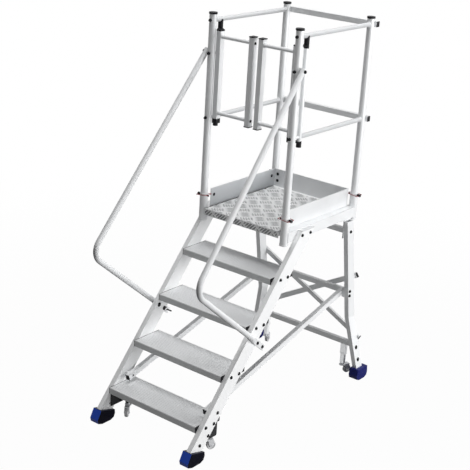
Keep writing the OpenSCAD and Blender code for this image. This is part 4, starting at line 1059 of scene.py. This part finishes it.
@dataclass
class Platform(SubAssembly):
    """Deck plate, beams, toe boards and post sockets."""

    WEARS = {"deck_sheet": "deck", "aluminium_across": "deck_bearers", "aluminium_upright": "post_sockets",
             "aluminium_along": "side_beam_left side_beam_right", "toe_sheet_back": "toe_board_back",
             "toe_sheet_side": "toe_board_left toe_board_right"}
    cell: float = 0.0724
    bar_length: float = 0.0660
    bar_width: float = 0.0100
    bar_height: float = 0.0016
    bar_pitch: float = 0.0142
    group_at: Pair = (-0.0363, 0.3762)
    margin: float = 0.008
    strip: float = 0.010
    rivet: Head = Head(0.0055, 0.0030, 1.15, 0.0006)
    rivet_inset: float = 0.012
    rivet_rows: Triple = (0.14, 0.50, 0.86)
    bolt: Head = Head(0.0075, 0.0048, 1.25)
    side_insets: Pair = (0.026, 0.030)
    side_rise: float = 0.012
    back_inset: float = 0.022
    back_rises: Pair = (-0.018, 0.022)

    def build(self) -> None:
        """Adds the chequer pattern, the deck rivets and the toe board bolts."""
        low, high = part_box("deck")
        fold = high[2] - low[2]
        back = high[1] - self.strip
        middle = (low[1] + back) / 2
        lie = Matrix.Translation((0.0, middle, high[2]))
        upright = Matrix.Rotation(math.pi / 2, 4, "X")
        stand = Matrix.Translation((0.0, low[1], (low[2] + high[2]) / 2)) @ upright
        self._chequer("deck_chequer", back - low[1], middle, lie)
        self._chequer("deck_lip_chequer", fold, low[1] - fold / 2, stand)
        self._fix_plates(low, high)

    def _chequer(self, name: str, depth: float, centre: float, place: Matrix) -> None:
        """Covers one plate with the pattern, which runs on round the fold.

        Args:
            name: name of the piece.
            depth: the plate's depth.
            centre: the plate's middle, measured along the unfolded sheet.
            place: where the plate lies.
        """
        low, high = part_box("deck")
        width = high[0] - low[0]
        repeat = self.cell * math.sqrt(2.0)
        shifts = [(at - mid + repeat / 2) % repeat - repeat / 2
                  for at, mid in zip(self.group_at, (0.0, centre))]
        rings = int(math.hypot(width, depth) / self.cell / 2 + 1)
        piece = ChequerGrowth().grow(name, point_mesh(name, [(0, 0, 0)]), {
            "Width": width, "Depth": depth, "Shift X": shifts[0], "Shift Y": shifts[1], "Cell": self.cell,
            "Count": 2 * rings + 3, "Bar Length": self.bar_length, "Bar Width": self.bar_width,
            "Bar Height": self.bar_height, "Bar Pitch": self.bar_pitch, "Turn": math.pi / 4,
            "Material": self.paints["chequer_bar"]})
        trim(piece.data, width / 2 - self.margin, depth / 2 - self.margin / 2)
        piece.data.transform(place)
        self.settle(piece, "frame", "aluminium")

    def _fix_plates(self, low: Vector, high: Vector) -> None:
        """Adds the rivets and bolts.

        Args:
            low: lowest corner of the deck.
            high: highest corner of the deck.
        """
        edge = high[0] - self.rivet_inset
        rows = [low[1] + share * (high[1] - low[1]) for share in self.rivet_rows]
        rivets = [((way * edge, y, high[2]), (0, 0, 1)) for way in WAYS for y in rows]
        self.heads("deck_rivets", rivets, self.rivet)
        board_low, board_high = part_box("toe_board_right")
        back_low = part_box("toe_board_back")[0]
        middle = (board_low[2] + board_high[2]) / 2
        ends = (board_low[1] + self.side_insets[0], back_low[1] - self.side_insets[1])
        bolts = [((way * board_low[0], y, middle + self.side_rise), (-way, 0, 0))
                 for way in WAYS for y in ends]
        bolts += [((way * (board_low[0] - self.back_inset), back_low[1], middle + rise), (0, -1, 0))
                  for way in WAYS for rise in self.back_rises]
        self.heads("toe_board_bolts", bolts, self.bolt)


@dataclass
class GuardRails(SubAssembly):
    """Posts, rails, caps, lock pins and wire bows."""

    WEARS = {"aluminium_across": "back_rails", "black_plastic": "post_caps", "tube_plug": "tube_plugs",
             "black_bolts": "locking_pins",
             "aluminium_upright": "hinge_tubes post_front_left post_front_right "
                                  "post_back_left post_back_right",
             "guard_tube": "top_rail_left top_rail_right mid_rail_left mid_rail_right",
             "red_wire": "clip_front_left clip_front_right clip_back_left clip_back_right"}
    bead: float = 0.0022
    pitch: float = 0.0022
    steps: int = 48
    seed: int = 7

    def build(self) -> None:
        """Adds the weld seams where the rails meet the back posts."""
        loops = []
        for side in SIDES:
            post_low, post_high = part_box(f"post_back_{side}")
            post_r = (post_high[0] - post_low[0]) / 2
            post_y = (post_low[1] + post_high[1]) / 2
            for height in ("top", "mid"):
                low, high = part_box(f"{height}_rail_{side}")
                rail_r = (high[0] - low[0]) / 2
                x, z = (low[0] + high[0]) / 2, (low[2] + high[2]) / 2
                loop = []
                for i in range(self.steps):
                    turn = 2 * math.pi * i / self.steps
                    out = rail_r * math.cos(turn)
                    y = post_y - math.sqrt(post_r ** 2 - out ** 2) - self.bead * SEAM_OFFSET
                    loop.append((x + out, y, z + rail_r * math.sin(turn)))
                loops.append(loop)
        seams = SeamGrowth().grow("rail_seams", loop_mesh("rail_seams", loops), {
            "Bead": self.bead, "Pitch": self.pitch, "Seed": self.seed,
            "Material": self.paints["aluminium_across"]})
        self.settle(seams, "frame", "aluminium")


@dataclass
class SaloonGate(SubAssembly):
    """The two self-closing leaves."""

    WEARS = {"aluminium_upright": "gate_left gate_right",
             "black_plastic": "gate_left_fittings gate_right_fittings"}
    stile_width: float = 0.029
    bar_r: float = 0.010
    bar_inset: float = 0.030
    bead: float = 0.0018
    pitch: float = 0.0019
    steps: int = 36
    seed: int = 11
    bolt: Head = Head(0.0068, 0.0042, washer=0.001)

    def build(self) -> None:
        """Adds the weld seams of the bars and the bolts of the closing stiles."""
        seam = SeamGrowth()
        turns = [2 * math.pi * i / self.steps for i in range(self.steps)]
        offset = self.bead * SEAM_OFFSET
        for side, way in zip(SIDES, WAYS):
            low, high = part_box(f"gate_{side}")
            y = (low[1] + high[1]) / 2
            inner = min(abs(low[0]), abs(high[0]))
            outer = max(abs(low[0]), abs(high[0]))
            bars = (low[2] + self.bar_inset, high[2] - self.bar_inset)
            joints = (inner + self.stile_width + offset, outer - self.stile_width - offset)
            loops = [[(way * x, y + self.bar_r * math.cos(turn), z + self.bar_r * math.sin(turn))
                      for turn in turns] for z in bars for x in joints]
            name = f"gate_{side}_seams"
            piece = seam.grow(name, loop_mesh(name, loops), {
                "Bead": self.bead, "Pitch": self.pitch, "Seed": self.seed,
                "Material": self.paints["aluminium_across"]})
            self.settle(piece, f"leaf_{side}", "aluminium")
            bolts = [((way * inner, y, z), (-way, 0, 0)) for z in bars]
            self.heads(f"gate_{side}_bolts", bolts, self.bolt, f"leaf_{side}")


@dataclass
class Handrails(SubAssembly):
    """The two bent handrails and all the bolts."""

    WEARS = {"handrail_tube": "handrail_left handrail_right", "black_bolts": "bolts"}
    nut: Head = Head(0.0104, 0.0075)
    cap: Head = Head(0.0086, 0.0085, 1.12)
    head_height: float = 0.005
    head_reach: float = 0.330
    head_width: float = 0.020
    nuts_at: Tuple[Pair, ...] = ((-0.306, 0.566), (-0.263, 0.533))

    def build(self) -> None:
        """Adds the cap nuts on the inner faces of the stiles, and the caps of the side bolts."""
        spots: List[Spot] = []
        for side, way in zip(SIDES, WAYS):
            stile = Surface(f"stile_{side}")
            spots.extend(stile.hit((0.0, y, z), (way, 0.0, 0.0)) for y, z in self.nuts_at)
        self.heads("handrail_nuts", spots, self.nut)
        self._caps()

    def _caps(self) -> None:
        """Adds domed caps on the outward heads of the side bolts."""
        spots: List[Spot] = []
        for corners in islands("bolts"):
            low = [min(corner[i] for corner in corners) for i in range(3)]
            high = [max(corner[i] for corner in corners) for i in range(3)]
            way = 1 if high[0] + low[0] > 0 else -1
            tip = high[0] if way > 0 else -low[0]
            if tip > self.head_reach and high[1] - low[1] < self.head_width:
                x = way * (tip - self.head_height)
                spots.append(((x, (low[1] + high[1]) / 2, (low[2] + high[2]) / 2), (way, 0.0, 0.0)))
        self.heads("bolt_caps", spots, self.cap)


@dataclass
class RearFrame(SubAssembly):
    """Flared legs with their bars, diagonals and side braces."""

    WEARS = {"aluminium_upright": "rear_leg_left rear_leg_right leg_brackets",
             "aluminium_across": "rear_bars rear_diagonals", "aluminium_along": "side_braces"}
    bolt: Head = Head(0.0104, 0.0065)
    bolts_z: Pair = (0.200, 0.122)
    bolt_inset: float = 0.030
    scan: float = 0.002

    def build(self) -> None:
        """Adds the heads of the two bolts low on each leg."""
        spots: List[Spot] = []
        for side, way in zip(SIDES, WAYS):
            leg = Surface(f"rear_leg_{side}")
            steps = int((leg.high[1] - leg.low[1]) / self.scan)
            for z in self.bolts_z:
                edge = next(y for y in (leg.low[1] + self.scan * i for i in range(steps))
                            if leg.hit((way, y, z), (-way, 0.0, 0.0))[0])
                spots.append(leg.hit((way, edge + self.bolt_inset, z), (-way, 0.0, 0.0)))
        self.heads("leg_bolts", spots, self.bolt)


@dataclass
class Feet(SubAssembly):
    """Moulded shoes with ribbed grips on their sides."""

    WEARS = {"blue_shoe": "front_feet", "navy_shoe": "rear_feet"}
    inset: float = 0.96
    panel: float = 0.0006
    rib_r: float = 0.0016
    rib_pitch: float = 0.0062
    lead: float = 0.7
    tail: float = 0.4
    shoe_height: float = 0.10
    sole_height: float = 0.001
    face_depth: float = 0.0002

    def build(self) -> None:
        """Adds a dark ribbed grip on each side of each shoe."""
        growth = RibGrowth()
        for node, paint in (("front_feet", "rubber_grip"), ("rear_feet", "navy_shoe")):
            corners = [vertex.co for vertex in frame["nodes"][node].data.vertices]
            outer = max(corner.x for corner in corners)
            right = [corner for corner in corners if corner.x > 0 and corner.z < self.shoe_height]
            sole = min(corner.z for corner in corners) + self.sole_height
            faces = [outer, min(corner.x for corner in right if corner.z < sole)]
            outline = hull_outline((round(corner.y, DIGITS), round(corner.z, DIGITS)) for corner in corners
                                   if abs(corner.x - outer) < self.face_depth)
            self._grips(node, self.paints[paint], growth, faces, outline)

    def _grips(self, node: str, paint: Material, growth: RibGrowth, faces: Sequence[float],
               outline: Sequence[Pair]) -> None:
        """Adds the grips of one pair of shoes.

        Args:
            node: the shoes' node.
            paint: finish of the grips.
            growth: tree that makes the ribs.
            faces: X of the right shoe's outer and inner face.
            outline: the shoe's side outline.
        """
        middle = [sum(corner[i] for corner in outline) / len(outline) for i in (0, 1)]
        inner = [tuple(middle[i] + self.inset * (corner[i] - middle[i]) for i in (0, 1))
                 for corner in outline]
        spots: List[Triple] = []
        talls: List[float] = []
        first = min(corner[0] for corner in inner) + self.rib_pitch * self.lead
        last = max(corner[0] for corner in inner) - self.rib_pitch * self.tail
        for i in range(int((last - first) / self.rib_pitch) + 1):
            y = first + i * self.rib_pitch
            bottom, top = self._span(inner, y)
            for way in WAYS:
                for x in faces:
                    spots.append((way * x, y, (bottom + top) / 2))
                    talls.append(max(top - bottom - 2 * self.rib_r, 2 * self.rib_r))
        ribs = growth.grow(f"{node}_ribs", point_mesh(node, spots, "tall", talls),
                           {"Rib Radius": self.rib_r, "Material": paint})
        shape = bmesh.new()
        shape.from_mesh(ribs.data)
        for way in WAYS:
            for x in faces:
                out = self.panel if x == faces[0] else -self.panel
                ring = [[shape.verts.new((way * (x + d), y, z)) for y, z in inner] for d in (0.0, out)]
                shape.faces.new(ring[0])
                shape.faces.new(ring[1])
                for i in range(len(inner)):
                    j = (i + 1) % len(inner)
                    shape.faces.new((ring[0][i], ring[0][j], ring[1][j], ring[1][i]))
        bmesh.ops.recalc_face_normals(shape, faces=shape.faces)
        shape.to_mesh(ribs.data)
        shape.free()
        self.settle(ribs, "frame", "blue_shoe")

    @staticmethod
    def _span(outline: Sequence[Pair], y: float) -> Pair:
        """Lowest and highest point of an outline at one place.

        Args:
            outline: corners in order.
            y: the place.

        Returns:
            The two heights.
        """
        heights = []
        for (y0, z0), (y1, z1) in zip(outline, list(outline[1:]) + [outline[0]]):
            if min(y0, y1) <= y <= max(y0, y1) and y0 != y1:
                heights.append(z0 + (z1 - z0) * (y - y0) / (y1 - y0))
        return min(heights), max(heights)


@dataclass
class Castors(SubAssembly):
    """Sprung swivel castors."""

    WEARS = {"castor_steel": "castor_housings",
             "zinc": "stem_front_left stem_front_right stem_rear_left stem_rear_right "
                     "fork_front_left fork_front_right fork_rear_left fork_rear_right"}
    tread_from: float = 0.0215
    hub_to: float = 0.0062

    def dress(self) -> None:
        """Puts the finishes on the solids, and on each wheel one about its own axle."""
        super().dress()
        for tag in (f"{end}_{side}" for end in ENDS for side in SIDES):
            low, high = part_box(f"wheel_{tag}")
            centre = tuple((low[i] + high[i]) / 2 for i in range(3))
            axis = next(tuple(joint["axis"]) for joint in frame["record"]["behaviour"]["joints"]
                        if joint["name"] == f"castor_{tag}_roll")
            wheel = NylonWheel(f"nylon_{tag}", centre, axis, self.tread_from, self.hub_to)
            self.wear(f"wheel_{tag}", wheel.make())


@dataclass(frozen=True)
class Lamp:
    """One square soft light."""

    name: str
    place: Triple
    size: float
    power: float
    target: Triple = (0.0, 0.0, 1.0)

    def build(self) -> None:
        """Makes the light and points it at its target."""
        data = bpy.data.lights.new(self.name, "AREA")
        data.size = self.size
        data.energy = self.power
        lamp = bpy.data.objects.new(self.name, data)
        lamp.location = self.place
        lamp.rotation_euler = (Vector(self.target) - Vector(self.place)).to_track_quat("-Z", "Y").to_euler()
        bpy.context.scene.collection.objects.link(lamp)


@dataclass(frozen=True)
class Studio:
    """White floor and backdrop, soft light from the right and from above, and the camera."""

    camera_at: Triple = (3.58987, -4.72043, 3.12609)
    camera_right: Triple = (0.77803, 0.62553, 0.05817)
    camera_up: Triple = (-0.25598, 0.23111, 0.93865)
    camera_ahead: Triple = (-0.57371, 0.74519, -0.33993)
    lens: float = 88.45
    sensor: float = 36.0
    ambient: float = 0.012
    floor_half: float = 14.0
    floor_grey: Colour = grey(0.16, 0.0)
    floor_white: float = 0.98
    floor_fade: Pair = (1.2, 4.5)
    lamps: Tuple[Lamp, ...] = (
        Lamp("side_light", (9.0, 1.2, 1.3), 3.2, 405.0),
        Lamp("rear_light", (7.4, 5.0, 2.4), 3.2, 330.0),
        Lamp("fill_light", (6.5, -3.5, 2.2), 3.0, 28.0),
        Lamp("top_light", (0.3, -0.2, 6.8), 2.6, 238.0, (0.0, -0.2, 0.6)))

    def build(self) -> None:
        """Makes the floor, the lights and the camera."""
        self._floor()
        self._world()
        for lamp in self.lamps:
            lamp.build()
        self._camera()
        bpy.context.scene.view_settings.view_transform = "Standard"

    @staticmethod
    def _seen(bench: Bench) -> Value:
        """Marks the rays that show the backdrop: from the camera, from gloss or through glass.

        Args:
            bench: where the nodes go.

        Returns:
            1 for those rays and 0 for the others.
        """
        path = bench.node("ShaderNodeLightPath")
        seen = Value(bench, path.outputs["Is Camera Ray"])
        for name in ("Is Glossy Ray", "Is Transmission Ray"):
            seen = seen.most(Value(bench, path.outputs[name]))
        return seen

    def _floor(self) -> None:
        """Makes the pale floor, which keeps a faint shadow."""
        half = self.floor_half
        corners = [(-half, -half, 0), (half, -half, 0), (half, half, 0), (-half, half, 0)]
        mesh = bpy.data.meshes.new("floor")
        mesh.from_pydata(corners, [], [(0, 1, 2, 3)])
        floor = bpy.data.objects.new("floor", mesh)
        bpy.context.scene.collection.objects.link(floor)
        material = bpy.data.materials.new("floor_white")
        bench = Bench.of(material)
        matt = bench.node("ShaderNodeBsdfDiffuse", {"Color": self.floor_grey})
        glow = bench.node("ShaderNodeEmission", {"Color": WHITE, "Strength": 1.0})
        away = bench.length(bench.place())
        white = self.floor_white + (1.0 - self.floor_white) * away.fade(*self.floor_fade)
        both = bench.node("ShaderNodeMixShader", {0: self._seen(bench) * white, 1: matt, 2: glow})
        bench.node("ShaderNodeOutputMaterial", {"Surface": both})
        mesh.materials.append(material)

    def _world(self) -> None:
        """Makes the white backdrop and the soft light from all round."""
        world = bpy.data.worlds.new("studio")
        bench = Bench.of(world)
        strength = self.ambient + (1.0 - self.ambient) * self._seen(bench)
        light = bench.node("ShaderNodeBackground", {"Color": WHITE, "Strength": strength})
        bench.node("ShaderNodeOutputWorld", {"Surface": light})
        bpy.context.scene.world = world

    def _camera(self) -> None:
        """Makes the camera at the photograph's viewing angle."""
        data = bpy.data.cameras.new("camera")
        data.lens = self.lens
        data.sensor_width = self.sensor
        camera = bpy.data.objects.new("camera", data)
        behind = tuple(-part for part in self.camera_ahead)
        axes = Matrix((self.camera_right, self.camera_up, behind)).transposed()
        camera.matrix_world = Matrix.Translation(self.camera_at) @ axes.to_4x4()
        bpy.context.scene.collection.objects.link(camera)
        bpy.context.scene.camera = camera


def main() -> None:
    """Builds the studio and each sub-assembly."""
    logging.basicConfig(level=logging.INFO, format="%(name)s: %(message)s")
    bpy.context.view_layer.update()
    Studio().build()
    paints = make_paints()
    for kind in (StairFrame, Platform, GuardRails, SaloonGate, Handrails, RearFrame, Feet, Castors):
        part = kind(paints)
        part.dress()
        part.build()
        LOG.info("%s done", kind.__name__)


if __name__ == "__main__":
    main()
